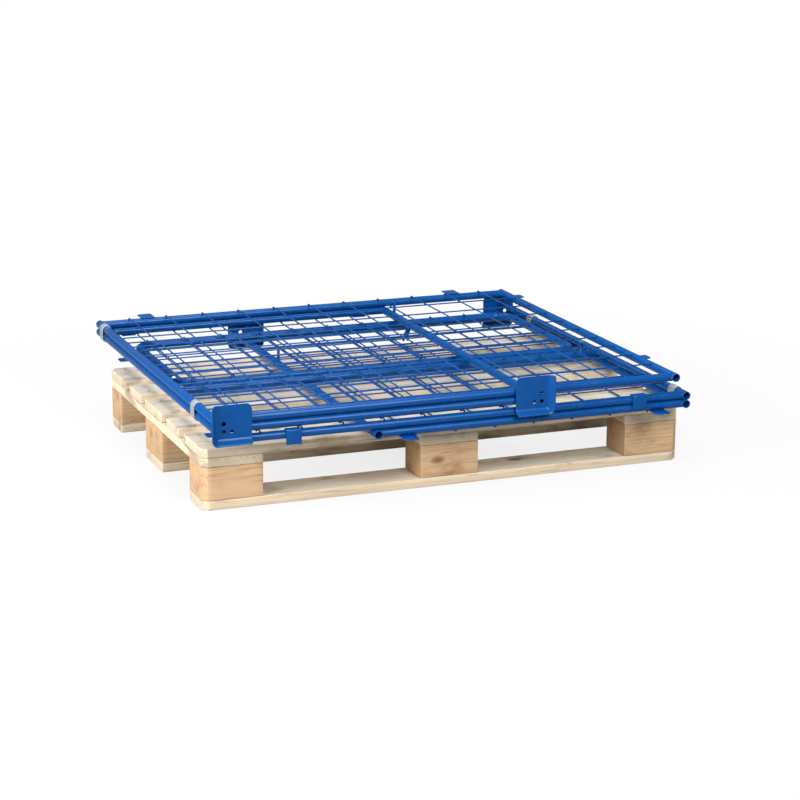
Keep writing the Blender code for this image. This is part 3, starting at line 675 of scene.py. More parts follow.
@dataclass(frozen=True)
class SawnPine:
    """Sawn spruce or pine, unplaned and a little weathered.

    Growth rings about a pith line outside the piece give long flames on the flat sides and arcs
    on the end grain. Over them lie fine saw fibres, resin streaks and knots, and the faces that
    look up are greyed by the weather and smudged; fine drying checks follow the fibres. It
    reads two attributes of the piece: "grain", metres along, across and through the grain, and
    "fibre", the direction of the fibres.
    """

    name: str
    pale: str
    late: str
    worn: str
    stain: str
    ring_mm: float
    ring_share: float
    wander: float = 0.030
    end_share: float = 0.16
    worn_share: float = 0.85
    knot_cells: tuple[float, float, float] = (7.0, 13.0, 13.0)
    knot_rarity: float = 0.66
    knot_share: float = 0.85

    def make(self) -> bpy.types.Material:
        """The material."""
        g = Graph(self.name)
        grain = g.add("ShaderNodeAttribute", attribute_name="grain").outputs["Vector"]
        late, stain = linear(self.late), linear(self.stain)
        ring = self.rings(g, grain)
        fibre = FIBRES.noise(g, grain)
        wear = WEAR.noise(g, grain)
        tone = g.blend(ring, (0.0, 1.0), self.ring_share, linear(self.pale), late)
        tone = STREAKS.over(g, STREAKS.noise(g, grain), tone, late)
        tone = g.blend(self.end_grain(g), (0.6, 0.95), self.end_share, tone, stain)
        weather = self.weather(g, wear)
        tone = g.blend(weather, (0.0, 1.0), self.worn_share, tone, linear(self.worn))
        for layer in (SMUDGES, CHECKS):
            tone = layer.over(g, layer.noise(g, grain), tone, stain)
        tone = FIBRES.over(g, fibre, tone, stain)
        tone = g.blend(self.knots(g, grain), (0.0, 1.0), self.knot_share, tone, stain)
        g.link(tone, "Base Color")
        g.bump(g.maths("MULTIPLY_ADD", ring, 0.25, fibre), 0.40, 0.6)
        g.link(g.remap(wear, (0.0, 1.0), (0.66, 0.90)), "Roughness")
        g.fixed(IOR=1.45, Metallic=0.0)
        return g.material

    def rings(self, g: Graph, grain: Socket) -> Socket:
        """Share of late wood: a band for each ring's width of distance from the pith."""
        square = g.stretched(grain, (0.0, 1.0, 1.0))
        radius = g.add("ShaderNodeVectorMath", {0: square}, operation="LENGTH").outputs["Value"]
        bent = g.maths("MULTIPLY_ADD", WANDER.noise(g, grain), self.wander, radius)
        sine = g.maths("SINE", g.maths("MULTIPLY", bent, TURN / (self.ring_mm * MM)))
        return g.remap(sine, (-0.2, 1.0), curve="SMOOTHSTEP")

    @staticmethod
    def end_grain(g: Graph) -> Socket:
        """How squarely a face cuts the fibres, whose direction is the "fibre" attribute."""
        normal = g.add("ShaderNodeTexCoord").outputs["Normal"]
        fibre = g.add("ShaderNodeAttribute", attribute_name="fibre").outputs["Vector"]
        along = g.add("ShaderNodeVectorMath", {0: normal, 1: fibre}, operation="DOT_PRODUCT")
        return g.maths("ABSOLUTE", along.outputs["Value"])

    @staticmethod
    def weather(g: Graph, wear: Socket) -> Socket:
        """Share of grey: most of a face that looks up, and patches of the others."""
        normal = g.add("ShaderNodeTexCoord").outputs["Normal"]
        upward = g.add("ShaderNodeSeparateXYZ", {0: normal}).outputs["Z"]
        return g.maths("ADD", wear, g.remap(upward, (0.55, 0.95), (-0.30, 0.22)))

    def knots(self, g: Graph, grain: Socket) -> Socket:
        """Round dark knots of about 10 to 20 mm, in a few of the cells of a stretched net."""
        vector = g.stretched(grain, self.knot_cells)
        cells = g.add("ShaderNodeTexVoronoi", {"Vector": vector, "Scale": 1.0})
        dark = g.remap(cells.outputs["Distance"], (0.20, 0.11))
        pick = g.add("ShaderNodeSeparateColor", {"Color": cells.outputs["Color"]}).outputs["Red"]
        return g.maths("MULTIPLY", dark, g.maths("GREATER_THAN", pick, self.knot_rarity))


@dataclass(frozen=True)
class Finishes:
    """The object's materials, one for each slot of the record, and the nails'."""

    board: bpy.types.Material
    block: bpy.types.Material
    blue: bpy.types.Material
    strap: bpy.types.Material
    pin: bpy.types.Material
    nail: bpy.types.Material

    @classmethod
    def mixed(cls) -> "Finishes":
        """Make every material."""
        board = SawnPine("sawn_spruce_board", pale="#E4D2B4", late="#C6A476", worn="#CCC5BA",
                         stain="#66523E", ring_mm=8.0, ring_share=0.20)
        block = SawnPine("sawn_pine_block", pale="#D3B18A", late="#AB7D50", worn="#BF9E78",
                         stain="#7E5232", ring_mm=7.0, ring_share=0.26)
        strap = ZincSheet("galvanised_strap", "#A3ABAE", "#C9CECD", roughness=0.46,
                          spangle_mm=9.0, metallic=0.55)
        pin = ZincSheet("zinc_plated_pin", "#DDE0E2", "#F2F3F3", roughness=0.34,
                        spangle_mm=4.0, metallic=0.6)
        nail = ZincSheet("weathered_nail_steel", "#6E6860", "#8E8880", roughness=0.50,
                         spangle_mm=3.0, metallic=0.8)
        return cls(board.make(), block.make(), PowderCoat().make(), strap.make(), pin.make(),
                   nail.make())

    def of(self, slot: Slot) -> bpy.types.Material:
        """Material of a slot."""
        return {Slot.BOARD: self.board, Slot.BLOCK: self.block, Slot.BLUE: self.blue,
                Slot.STRAP: self.strap, Slot.PIN: self.pin}[slot]


def dress(item: bpy.types.Object, material: bpy.types.Material, body: str,
          node: str | None) -> bpy.types.Object:
    """Give a piece its finish and its body, and hide the CAD node it stands for.

    Args:
        item: the piece.
        material: its finish.
        body: the CAD body that it rides on.
        node: the CAD node that it replaces, or None.

    Returns:
        The piece.
    """
    item.data.materials.clear()
    item.data.materials.append(material)
    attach(item, body)
    if node is not None:
        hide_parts(node)
    LOG.info("%s: %d faces", item.name, len(item.data.polygons))
    return item


# ---------------------------------------------------------------- pallet


@dataclass(frozen=True)
class Plank:
    """A board or block of the pallet with worn edges, in the box of its CAD node."""

    node: str
    slot: Slot
    grain: Grain
    clipped: tuple[tuple[int, int], ...]
    seed: int
    cut: float = 0.014
    wear: float = 0.0024
    dent: float = 0.0004
    sag: float = 0.00025
    step: float = 0.012

    def outline(self, low: np.ndarray, high: np.ndarray) -> np.ndarray:
        """Plan of the piece, its named corners clipped at 45 degrees, upright edges eased."""
        corners = []
        for index, sign in enumerate(((-1, -1), (1, -1), (1, 1), (-1, 1))):
            corner = np.where(np.array(sign) > 0, high[:2], low[:2])
            if sign not in self.clipped:
                corners.append(corner)
                continue
            along_x = corner - np.array((sign[0] * self.cut, 0))
            along_y = corner - np.array((0, sign[1] * self.cut))
            corners.extend((along_y, along_x) if index % 2 == 0 else (along_x, along_y))
        return evenly(filleted(corners, self.wear, 4), self.step)

    def surface(self) -> np.ndarray:
        """P(s, t): the plan's point s carried from one face round the worn edges to the other.

        The edge's radius and a shallow wave of the faces change along s by closed noise, always
        inwards of the CAD box.
        """
        low, high = (np.array(corner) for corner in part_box(self.node))
        plan = self.outline(low, high)
        turns = np.arange(len(plan)) / len(plan)
        radius = self.wear * (0.75 + 0.45 * wave(turns, self.seed, 9))
        dent = self.dent * (1 + wave(turns, self.seed + 50, 12))
        arc = np.radians(np.linspace(0, 90, 5))
        middle = (low[:2] + high[:2]) / 2
        half = (high[:2] - low[:2]) / 2
        rows = []
        for face, side in ((low[2], 1.0), (high[2], -1.0)):
            deep = np.concatenate([[4.0, 2.0], 1 - np.sin(arc)])
            rise = np.concatenate([[0.0, 0.0], 1 - np.cos(arc)])
            sag = self.sag * np.array([1.0, 1.0, 1.0, 0.5, 0.0, 0.0, 0.0])
            inset = deep[:, None] * radius[None] + dent[None]
            height = face + side * (rise[:, None] * radius[None] + sag[:, None])
            share = 1 - inset[..., None] / half
            flat = middle + (plan - middle)[None] * share
            ring = np.concatenate([flat, height[..., None]], 2)
            rows.append(ring if side > 0 else ring[::-1])
        return np.concatenate(rows)

    def build(self, finishes: Finishes, name: str) -> bpy.types.Object:
        """Make, dress and return the piece."""
        item = Shell.of(self.surface(), caps=True).piece(name)
        self.lay_grain(item)
        return dress(item, finishes.of(self.slot), "pallet", self.node)

    def lay_grain(self, item: bpy.types.Object) -> None:
        """Store each point's place in a log of its own, and the direction of the fibres."""
        rng = np.random.default_rng(self.seed)
        mesh = item.data
        points = np.zeros(len(mesh.vertices) * 3, np.float32)
        mesh.vertices.foreach_get("co", points)
        points = points.reshape(-1, 3)[:, self.grain.value]
        middle = (points.max(0) + points.min(0)) / 2
        shift = np.array((rng.uniform(3, 40), rng.uniform(-0.05, 0.05), rng.uniform(0.015, 0.07)))
        shift[2] *= rng.choice((-1, 1))
        store = mesh.attributes.new("grain", "FLOAT_VECTOR", "POINT")
        store.data.foreach_set("vector", (points - middle + shift).astype(np.float32).ravel())
        way = np.zeros((len(points), 3), np.float32)
        way[:, self.grain.value[0]] = 1.0
        fibre = mesh.attributes.new("fibre", "FLOAT_VECTOR", "POINT")
        fibre.data.foreach_set("vector", way.ravel())


@dataclass(frozen=True)
class Pallet:
    """Four-way pallet: 3 bottom boards, 9 blocks, 3 stringers, 5 deck boards and its nails."""

    nail_radius: float = 0.0042
    nail_rise: float = 0.0004
    nail_sunk: float = 0.00005
    nail_inset_x: float = 0.042
    nail_inset_y: float = 0.024
    stray_x: float = 0.012
    stray_y: float = 0.006
    wide_board: float = 0.12
    body: str = "pallet"

    def planks(self) -> list[Plank]:
        """All wooden pieces with their corner cuts, grain and seeds."""
        rows = {"front": -1, "middle": 0, "back": 1}
        columns = {"left": -1, "middle": 0, "right": 1}
        found = []
        for row, side in rows.items():
            cuts = ((-1, side), (1, side)) if side else ()
            found.append(Plank(f"bottom_board_{row}", Slot.BOARD, Grain.ALONG_X, cuts, 11 + side))
        for column, side in columns.items():
            for row, front in rows.items():
                cuts = ((side, front),) if side and front else ()
                seed = 31 + 3 * side + front
                found.append(Plank(f"block_{column}_{row}", Slot.BLOCK, Grain.ALONG_X, cuts, seed))
            cuts = ((side, -1), (side, 1)) if side else ()
            found.append(Plank(f"stringer_{column}", Slot.BOARD, Grain.ALONG_Y, cuts, 61 + side))
        for index in range(1, 6):
            side = {1: -1, 5: 1}.get(index, 0)
            cuts = ((-1, side), (1, side)) if side else ()
            found.append(Plank(f"deck_board_{index}", Slot.BOARD, Grain.ALONG_X, cuts, 70 + index))
        return found

    def build(self, finishes: Finishes) -> None:
        """Make every plank and the nails."""
        for plank in self.planks():
            plank.build(finishes, f"{plank.node}_wood")
        self.nails(finishes)

    def nails(self, finishes: Finishes) -> None:
        """Flat nail heads on the deck and under the bottom boards, over each block."""
        rng = np.random.default_rng(5)
        decks = [f"deck_board_{index}" for index in range(1, 6)]
        bottoms = [f"bottom_board_{row}" for row in ("front", "middle", "back")]
        centres = []
        for board in decks + bottoms:
            low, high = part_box(board)
            lanes = [low[1] + self.nail_inset_y, high[1] - self.nail_inset_y]
            if high[1] - low[1] > self.wide_board:
                lanes.insert(1, (low[1] + high[1]) / 2)
            sink = self.nail_sunk + self.nail_rise
            height = high[2] - sink if board in decks else low[2] + sink
            for column in ("left", "middle", "right"):
                left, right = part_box(f"block_{column}_middle")
                places = (left[0] + self.nail_inset_x, right[0] - self.nail_inset_x)
                for index, lane in enumerate(lanes):
                    x = places[index % 2] + rng.uniform(-self.stray_x, self.stray_x)
                    y = lane + rng.uniform(-self.stray_y, self.stray_y)
                    centres.append((x, y, height))
        shell = Shell()
        size = (self.nail_radius, self.nail_radius, self.nail_rise)
        shell.add_many(beads(np.array(centres), size, sides=10))
        item = shell.piece("pallet_nails", merge=1e-5)
        dress(item, finishes.nail, self.body, None)


# ---------------------------------------------------------------- cage


@dataclass(frozen=True)
class TubeSizes:
    """Steel tube and wire of the panels, and how their ends and welds are worked.

    Offsets are distances from the tubes' axes: of the wires along the posts, of those across,
    and of the nuggets that seat the wires on the rails. A nugget has its half size along each
    axis, and a seam its least radius, its swell, and the share and number of its ripples.
    """

    radius: float = 0.010
    wall: float = 0.0015
    lip: float = 0.0005
    sides: int = 48
    cope_gap: float = 0.0001
    wire: float = 0.0018
    wire_sides: int = 12
    wire_pitch: float = 0.0985
    gap: float = 0.0003
    overrun: float = 0.0010
    down_offset: float = 0.0122
    cross_offset: float = 0.0086
    seat_offset: float = 0.0102
    cross_nugget: tuple[float, float, float] = (0.0033, 0.0033, 0.0018)
    rail_nugget: tuple[float, float, float] = (0.0034, 0.0042, 0.0013)
    post_nugget: tuple[float, float, float] = (0.0024, 0.0034, 0.0022)
    seam_least: float = 0.0003
    seam_swell: float = 0.0015
    seam_ripple: float = 0.16
    seam_drops: int = 24
    seam_steps: int = 72


@dataclass(frozen=True)
class FlatSizes:
    """Flat steel that is welded to the tubes: feet, seats, lugs, catches and the forked hook.

    Sunk is how deep a flat lies in its tube's weld; edge and corner are roundings of the welded
    and of the free corners.
    """

    thick: float = 0.003
    sunk: float = 0.0005
    edge: float = 0.001
    corner: float = 0.004
    foot_half: float = 0.018
    foot_back: float = 0.006
    foot_reach: float = 0.038
    foot_from_wire: float = 0.0235
    seat_thick: float = 0.004
    seat_drop: float = 0.022
    seat_clear: float = 0.0002
    seat_weld: float = 0.0026
    lug_half: float = 0.015
    lug_reach: float = 0.036
    lug_top: float = 0.213
    lug_bottom: float = 0.064
    lug_weld: float = 0.0014
    catch_half: float = 0.006
    catch_drop: float = 0.004
    catch_thick: float = 0.004
    fork_top: float = 0.009
    fork_top_half: float = 0.006
    fork_shift: float = 0.010
    fork_half: float = 0.008
    fork_slot_half: float = 0.003
    fork_slot_top: float = 0.032
    fork_tip: float = 0.044
    fork_thick: float = 0.004


@dataclass
class Panel:
    """One panel of the cage: posts, rails and a welded grid, with what is fixed to them."""

    prefix: str
    body: str
    place: Place
    width: float
    outer: int
    finishes: Finishes
    tube: TubeSizes = TubeSizes()
    flats: FlatSizes = FlatSizes()
    half_post: float = 0.51175
    rail_y: float = 0.49775
    wires: int = 11
    rows: int = 9

    def finish(self, shell: Shell, node: str, kind: str, slot: Slot = Slot.BLUE
               ) -> bpy.types.Object:
        """Turn a shell given in the panel's frame into the dressed piece of a node."""
        item = shell.piece(f"{node}_{kind}", self.place)
        return dress(item, self.finishes.of(slot), self.body, node)

    def wires_x(self) -> np.ndarray:
        """Places of the wires along the posts, centred in the width."""
        number = np.arange(self.wires) - (self.wires - 1) / 2
        return self.width / 2 + self.tube.wire_pitch * number

    def full_frame(self, feet: Sequence[float], extras: Sequence[Shell]) -> None:
        """Two posts, two rails and a grid over the whole panel.

        Args:
            feet: middles of the feet on the bottom rail.
            extras: what is welded to the free post.
        """
        self.post("hinge", 0.0)
        self.post("free", self.width, extras)
        self.rail("top", -self.rail_y)
        self.rail("bottom", self.rail_y, [self.foot(centre) for centre in feet])
        span = (-self.rail_y, self.rail_y)
        self.grid(f"{self.prefix}_mesh", self.rows, (0.0, self.width), span)

    def post(self, which: str, x: float, extras: Sequence[Shell] = ()) -> None:
        """Open tube along y with rounded rims, and whatever is welded to it."""
        sizes = self.tube
        profile = round_wall_profile(2 * self.half_post, sizes.radius, sizes.radius - sizes.wall,
                                     sizes.lip)
        start = (x, -self.half_post, 0)
        shell = Shell.of(turned_shape(start, (0, 1, 0), profile, sizes.sides), wrap_rows=True)
        shell.join(extras)
        self.finish(shell, f"{self.prefix}_post_{which}", "tube")

    def rail(self, which: str, y: float, extras: Sequence[Shell] = ()) -> None:
        """Tube along x, its ends coped and welded to the posts, and what is welded to it.

        P(s, t) has radius r(s) and ends where it meets a post's cylinder:
        x = sqrt(R^2 - (r sin t)^2) from the post's axis.
        """
        sizes = self.tube
        angle = TURN * np.arange(sizes.sides) / sizes.sides
        inner = sizes.radius - sizes.wall
        rows = []
        for radius, far in ((sizes.radius, False), (sizes.radius, True), (inner, True),
                            (inner, False)):
            depth = np.clip(sizes.radius ** 2 - (radius * np.sin(angle)) ** 2, 0, None)
            reach = np.sqrt(depth) + sizes.cope_gap
            x = self.width - reach if far else reach
            rows.append(np.stack([x, y + radius * np.cos(angle), radius * np.sin(angle)], 1))
        shell = Shell.of(np.array(rows), wrap_rows=True)
        for post_x, side in ((0.0, 1.0), (self.width, -1.0)):
            shell.add_grid(self.weld_seam(post_x, side, y), wrap_rows=True)
        shell.join(extras)
        self.finish(shell, f"{self.prefix}_rail_{which}", "tube")

    def weld_seam(self, post_x: float, side: float, y: float) -> np.ndarray:
        """Weld bead round a coped end.

        Its middle follows the joint of two equal tubes, (R |cos t|, R cos t, R sin t), and its
        radius swells with |cos t| and ripples like the drops of a weld.
        """
        sizes = self.tube
        turn = TURN * np.arange(sizes.seam_steps) / sizes.seam_steps
        swell = np.abs(np.cos(turn))
        ripple = 1 + sizes.seam_ripple * np.cos(sizes.seam_drops * turn)
        radius = sizes.seam_least + sizes.seam_swell * swell * ripple
        spread = np.sqrt(np.cos(turn) ** 2 + 0.01) * sizes.radius
        path = np.stack([
            post_x + side * spread,
            y + (sizes.radius + 0.0002 * swell) * np.cos(turn),
            (sizes.radius - radius) * np.sin(turn),
        ], 1)
        way = np.roll(path, -1, 0) - np.roll(path, 1, 0)
        way /= np.linalg.norm(way, axis=1, keepdims=True)
        out = np.stack([np.full(sizes.seam_steps, side * 0.7), np.cos(turn), np.sin(turn)], 1)
        first = np.cross(way, out)
        first /= np.linalg.norm(first, axis=1, keepdims=True)
        second = np.cross(first, way)
        round_ = TURN * np.arange(8) / 8
        ring = (np.cos(round_)[None, :, None] * first[:, None]
                + np.sin(round_)[None, :, None] * second[:, None])
        return path[:, None] + ring * radius[:, None, None]

    def grid(self, node: str, count: int, span_x: tuple[float, float],
             span_y: tuple[float, float]) -> None:
        """Welded grid: wires along y outside, wires along x behind them, a nugget at each cross.

        Args:
            node: CAD node that the grid stands for.
            count: number of wires along x, evenly spaced between the ends.
            span_x: axes of the tubes at the two sides.
            span_y: axes of the tubes at the two ends.
        """
        sizes = self.tube
        wires = self.wires_x()
        rows = np.linspace(*span_y, count + 2)[1:-1]
        high, low = self.outer * sizes.down_offset, self.outer * sizes.cross_offset
        depth = sizes.cross_offset - sizes.wire
        reach = math.sqrt(sizes.radius ** 2 - depth ** 2) + sizes.gap
        left, right = span_x[0] + reach, span_x[1] - reach
        near, far = span_y[0] - sizes.overrun, span_y[1] + sizes.overrun
        shell = Shell()
        for starts, way in ((lattice(wires, [near], [high]), (0, far - near, 0)),
                            (lattice([left], rows, [low]), (right - left, 0, 0))):
            shell.add_many(rods(starts, way, sizes.wire, sizes.wire_sides))
        for centres, radii in (
            (lattice(wires, rows, [(high + low) / 2]), sizes.cross_nugget),
            (lattice(wires, span_y, [self.outer * sizes.seat_offset]), sizes.rail_nugget),
            (lattice((left, right), rows, [low]), sizes.post_nugget),
        ):
            shell.add_many(beads(centres, radii))
        self.finish(shell, node, "wires")

    @staticmethod
    def flat_bar(outline: np.ndarray, low: float, high: float, axes: tuple[int, int, int],
                 ease: float = 0.0006) -> Shell:
        """Eased flat bar in the panel's frame.

        Args:
            outline: rows of (a, b).
            low: one face, along the third axis.
            high: the other face.
            axes: where a, b and the thickness go: a permutation of 0, 1, 2.
            ease: rounding of its edges.

        Returns:
            The shell.
        """
        bar = eased_plate(outline, min(low, high), max(low, high), ease)
        return Shell.of(bar[..., np.argsort(axes)], caps=True)

    def foot(self, centre: float) -> Shell:
        """Flat foot on the outer side of the bottom rail, reaching past the panel's edge."""
        flats = self.flats
        low = self.outer * (self.tube.radius - flats.sunk)
        outline = rounded_box((centre - flats.foot_half, self.rail_y - flats.foot_back),
                              (centre + flats.foot_half, self.rail_y + flats.foot_reach),
                              (flats.edge, flats.edge, flats.corner, flats.corner))
        return self.flat_bar(outline, low, low + self.outer * flats.thick, (0, 1, 2))

    @staticmethod
    def fillet_weld(start: Sequence[float], end: Sequence[float], radius: float) -> Shell:
        """Straight weld bead with rounded ends, rippled along its length."""
        way = np.subtract(end, start)
        share = np.linspace(0, 1, 25)
        body = np.sqrt(np.clip(1 - (2 * share - 1) ** 8, 0, 1))
        ripple = 1 + 0.12 * np.cos(TURN * 8 * share)
        profile = np.stack([share * np.linalg.norm(way), radius * body * ripple], 1)
        return Shell.of(turned_shape(start, way, profile, 8))


@dataclass
class CornerPlate:
    """Pressed plate before a post's top end: a flat field, two flared lips and a coned corner."""

    panel: Panel
    which: str
    bend_x: float
    outward: int
    field_x: float = 0.080
    field_z: float = 0.0759
    lip: float = 0.021
    flare: float = 40.0
    thick: float = 0.003
    ease: float = 0.0006
    rounding: float = 0.013
    small_rounding: float = 0.006
    drop: float = 0.0187
    hole: float = 0.005
    third_hole: float = 0.0042
    pitch: float = 0.0185
    edge: float = 0.015
    bend: float = 0.0035
    step: float = 0.004

    @property
    def reach(self) -> float:
        """How far a lip reaches past its bend line, before the plate."""
        return self.lip * math.cos(math.radians(self.flare))

    def outline(self) -> np.ndarray:
        """Edge of the sheet before pressing, u inwards and v upwards from the bend lines."""
        inner, high, edge = self.field_x, self.field_z, -self.reach
        corners = ((inner, edge), (inner, high), (edge, high), (edge, edge))
        radii = (self.small_rounding, self.rounding, self.small_rounding, self.reach)
        return evenly(filleted(corners, radii, 9), self.step)

    def press(self, flat: np.ndarray) -> np.ndarray:
        """Press the flat sheet: a point d beyond the bend lines leans forward.

        d = |(min(u, 0), min(v, 0))| and the lean is tan(flare) (reach / f(reach)) f(d), with
        f(d) = sqrt(d^2 + b^2) - b, which is flat at the bend and straight further out.
        """
        beyond = np.hypot(np.minimum(flat[:, 0], 0), np.minimum(flat[:, 1], 0))
        curve = np.sqrt(beyond ** 2 + self.bend ** 2) - self.bend
        full = math.hypot(self.reach, self.bend) - self.bend
        lean = math.tan(math.radians(self.flare)) * self.reach * curve / full
        back = -self.panel.half_post - self.panel.tube.gap
        x = self.bend_x - self.outward * flat[:, 0]
        return np.stack([x, back - lean, flat[:, 1] - self.drop], 1)

    def build(self) -> None:
        """Make the plate, its thickness and its eased edges."""
        a, b = self.edge, self.edge
        holes = [circle((a, b), self.hole), circle((a, b + self.pitch), self.hole),
                 circle((a + self.pitch, b), self.third_hole, 20)]
        flat, faces = punched(self.outline(), holes, self.step)
        node = f"{self.panel.prefix}_corner_plate_{self.which}"
        mesh = bpy.data.meshes.new(node)
        mesh.from_pydata(self.panel.place.to_world(self.press(flat)), [], faces)
        item = new_object(f"{node}_sheet", mesh)
        self.face_back(item)
        solid = item.modifiers.new("sheet", "SOLIDIFY")
        solid.thickness = self.thick
        solid.offset = -1.0
        solid.use_even_offset = True
        ease = item.modifiers.new("edge", "BEVEL")
        ease.width = self.ease
        ease.segments = 2
        ease.limit_method = "ANGLE"
        ease.angle_limit = math.radians(50)
        settle(item)
        shade(item, 42)
        dress(item, self.panel.finishes.blue, self.panel.body, node)

    def face_back(self, item: bpy.types.Object) -> None:
        """Turn every face of the sheet to the panel, so that the thickness grows forwards."""
        sign = -1.0 if self.panel.place.turned else 1.0
        shape = bmesh.new()
        shape.from_mesh(item.data)
        bmesh.ops.recalc_face_normals(shape, faces=shape.faces)
        if sum(face.normal.y * face.calc_area() for face in shape.faces) * sign < 0:
            bmesh.ops.reverse_faces(shape, faces=shape.faces)
        shape.to_mesh(item.data)
        shape.free()


@dataclass
class StrapClip:
    """Bent strap that loops round the two hinge posts of a unit and joins them."""

    panel: Panel
    which: str
    y: float
    width: float = 0.028
    thick: float = 0.002
    ease: float = 0.0007

    def build(self) -> None:
        """Carry the strap's section, with eased edges, along a stadium round both posts.

        The path is the stadium of radius R + gap + half the thickness about the two axes.
        """
        sizes = self.panel.tube
        radius = sizes.radius + sizes.gap + self.thick / 2
        rise = 2 * sizes.radius + sizes.gap
        angle = np.linspace(0, math.pi, 25)
        upper = np.stack([radius * np.cos(angle), rise + radius * np.sin(angle)], 1)
        lower = np.stack([-radius * np.cos(angle), -radius * np.sin(angle)], 1)
        share = np.linspace(0, 1, 9)[1:-1]
        left = np.stack([-radius + 0 * share, rise * (1 - share)], 1)
        right = np.stack([radius + 0 * share, rise * share], 1)
        loop = np.concatenate([upper, left, lower, right])
        path = np.stack([loop[:, 0], np.full(len(loop), self.y), loop[:, 1]], 1)
        half = np.array((self.thick, self.width)) / 2
        section = rounded_box(-half, half, self.ease)
        shell = Shell.of(carried(path, section, (0, 1, 0)), wrap_rows=True)
        self.panel.finish(shell, f"{self.panel.prefix}_clip_{self.which}", "strap", Slot.STRAP)


@dataclass
class ShortPanel(Panel):
    """Short panel with a full grid, two corner plates and the unit's strap clips."""

    wires: int = 7
    post_extras: Sequence[Shell] = ()
    hinge_plate_shift: float = 0.0005
    free_plate_shift: float = 0.015
    clip_top: float = 0.148
    clip_bottom: float = 0.060

    def build(self) -> None:
        """Make every piece of the panel."""
        wires, shift = self.wires_x(), self.flats.foot_from_wire
        self.full_frame((wires[0] - shift, wires[-1] + shift), self.post_extras)
        CornerPlate(self, "hinge", self.hinge_plate_shift, -1).build()
        CornerPlate(self, "free", self.width + self.free_plate_shift, 1).build()
        StrapClip(self, "top", self.clip_top - self.half_post).build()
        StrapClip(self, "bottom", self.half_post - self.clip_bottom).build()

    def catch(self, y: float, side: int, rise: float) -> Shell:
        """Narrow upright plate welded to one side of the free post."""
        flats = self.flats
        near = self.width + side * (self.tube.radius - flats.sunk)
        outline = rounded_box((y - flats.catch_half, -flats.catch_drop),
                              (y + flats.catch_half, rise), (0.001, 0.001, 0.003, 0.003))
        return self.flat_bar(outline, near, near + side * flats.catch_thick, (1, 2, 0))

    def fork(self, y: float) -> Shell:
        """Two-pronged hook that hangs from the free post and leans inwards."""
        flats = self.flats
        top, tip, slot = -flats.fork_top, -flats.fork_tip, -flats.fork_slot_top
        x, middle = self.width, self.width - flats.fork_shift
        half, inner = flats.fork_half, flats.fork_slot_half
        corners = (
            (x - flats.fork_top_half, top), (middle - half, slot), (middle - half, tip),
            (middle - inner, tip), (middle - inner, slot), (middle + inner, slot),
            (middle + inner, tip), (middle + half, tip), (middle + half, slot),
            (x + flats.fork_top_half, top),
        )
        prong = (0.0005, 0.004, 0.0015, 0.0015, 0.0025)
        outline = filleted(corners, (*prong, *prong[::-1]), 4)
        thick = flats.fork_thick / 2
        return self.flat_bar(outline, y - thick, y + thick, (0, 2, 1))


@dataclass
class LongPanel(Panel):
    """What both long panels share: the places of their feet and the free post's two lugs."""

    def feet_x(self) -> tuple[float, float]:
        """Middles of the two feet, which stand between the outer wires."""
        wires = self.wires_x()
        return wires[0] + self.tube.wire_pitch / 2, wires[-2] + self.flats.foot_from_wire

    def lugs(self) -> list[Shell]:
        """Two flat lugs on the outside of the free post, each with its welds."""
        flats = self.flats
        near, far = self.width + self.tube.radius - 2 * flats.sunk, self.width + flats.lug_reach
        weld_x = self.width + self.tube.radius + self.tube.gap
        weld_half = flats.lug_half - 0.002
        radii = (0.0005, flats.corner, flats.corner, 0.0005)
        found = []
        for y in (flats.lug_top - self.half_post, self.half_post - flats.lug_bottom):
            outline = rounded_box((near, y - flats.lug_half), (far, y + flats.lug_half), radii)
            found.append(self.flat_bar(outline, -flats.thick / 2, flats.thick / 2, (0, 1, 2)))
            for z in (-0.0018, 0.0018):
                weld = ((weld_x, y - weld_half, z), (weld_x, y + weld_half, z))
                found.append(self.fillet_weld(*weld, flats.lug_weld))
        return found


@dataclass
class PlainLongPanel(LongPanel):
    """Upper long panel: a full grid between two posts and two rails."""

    def build(self) -> None:
        """Make every piece of the panel."""
        self.full_frame(self.feet_x(), self.lugs())


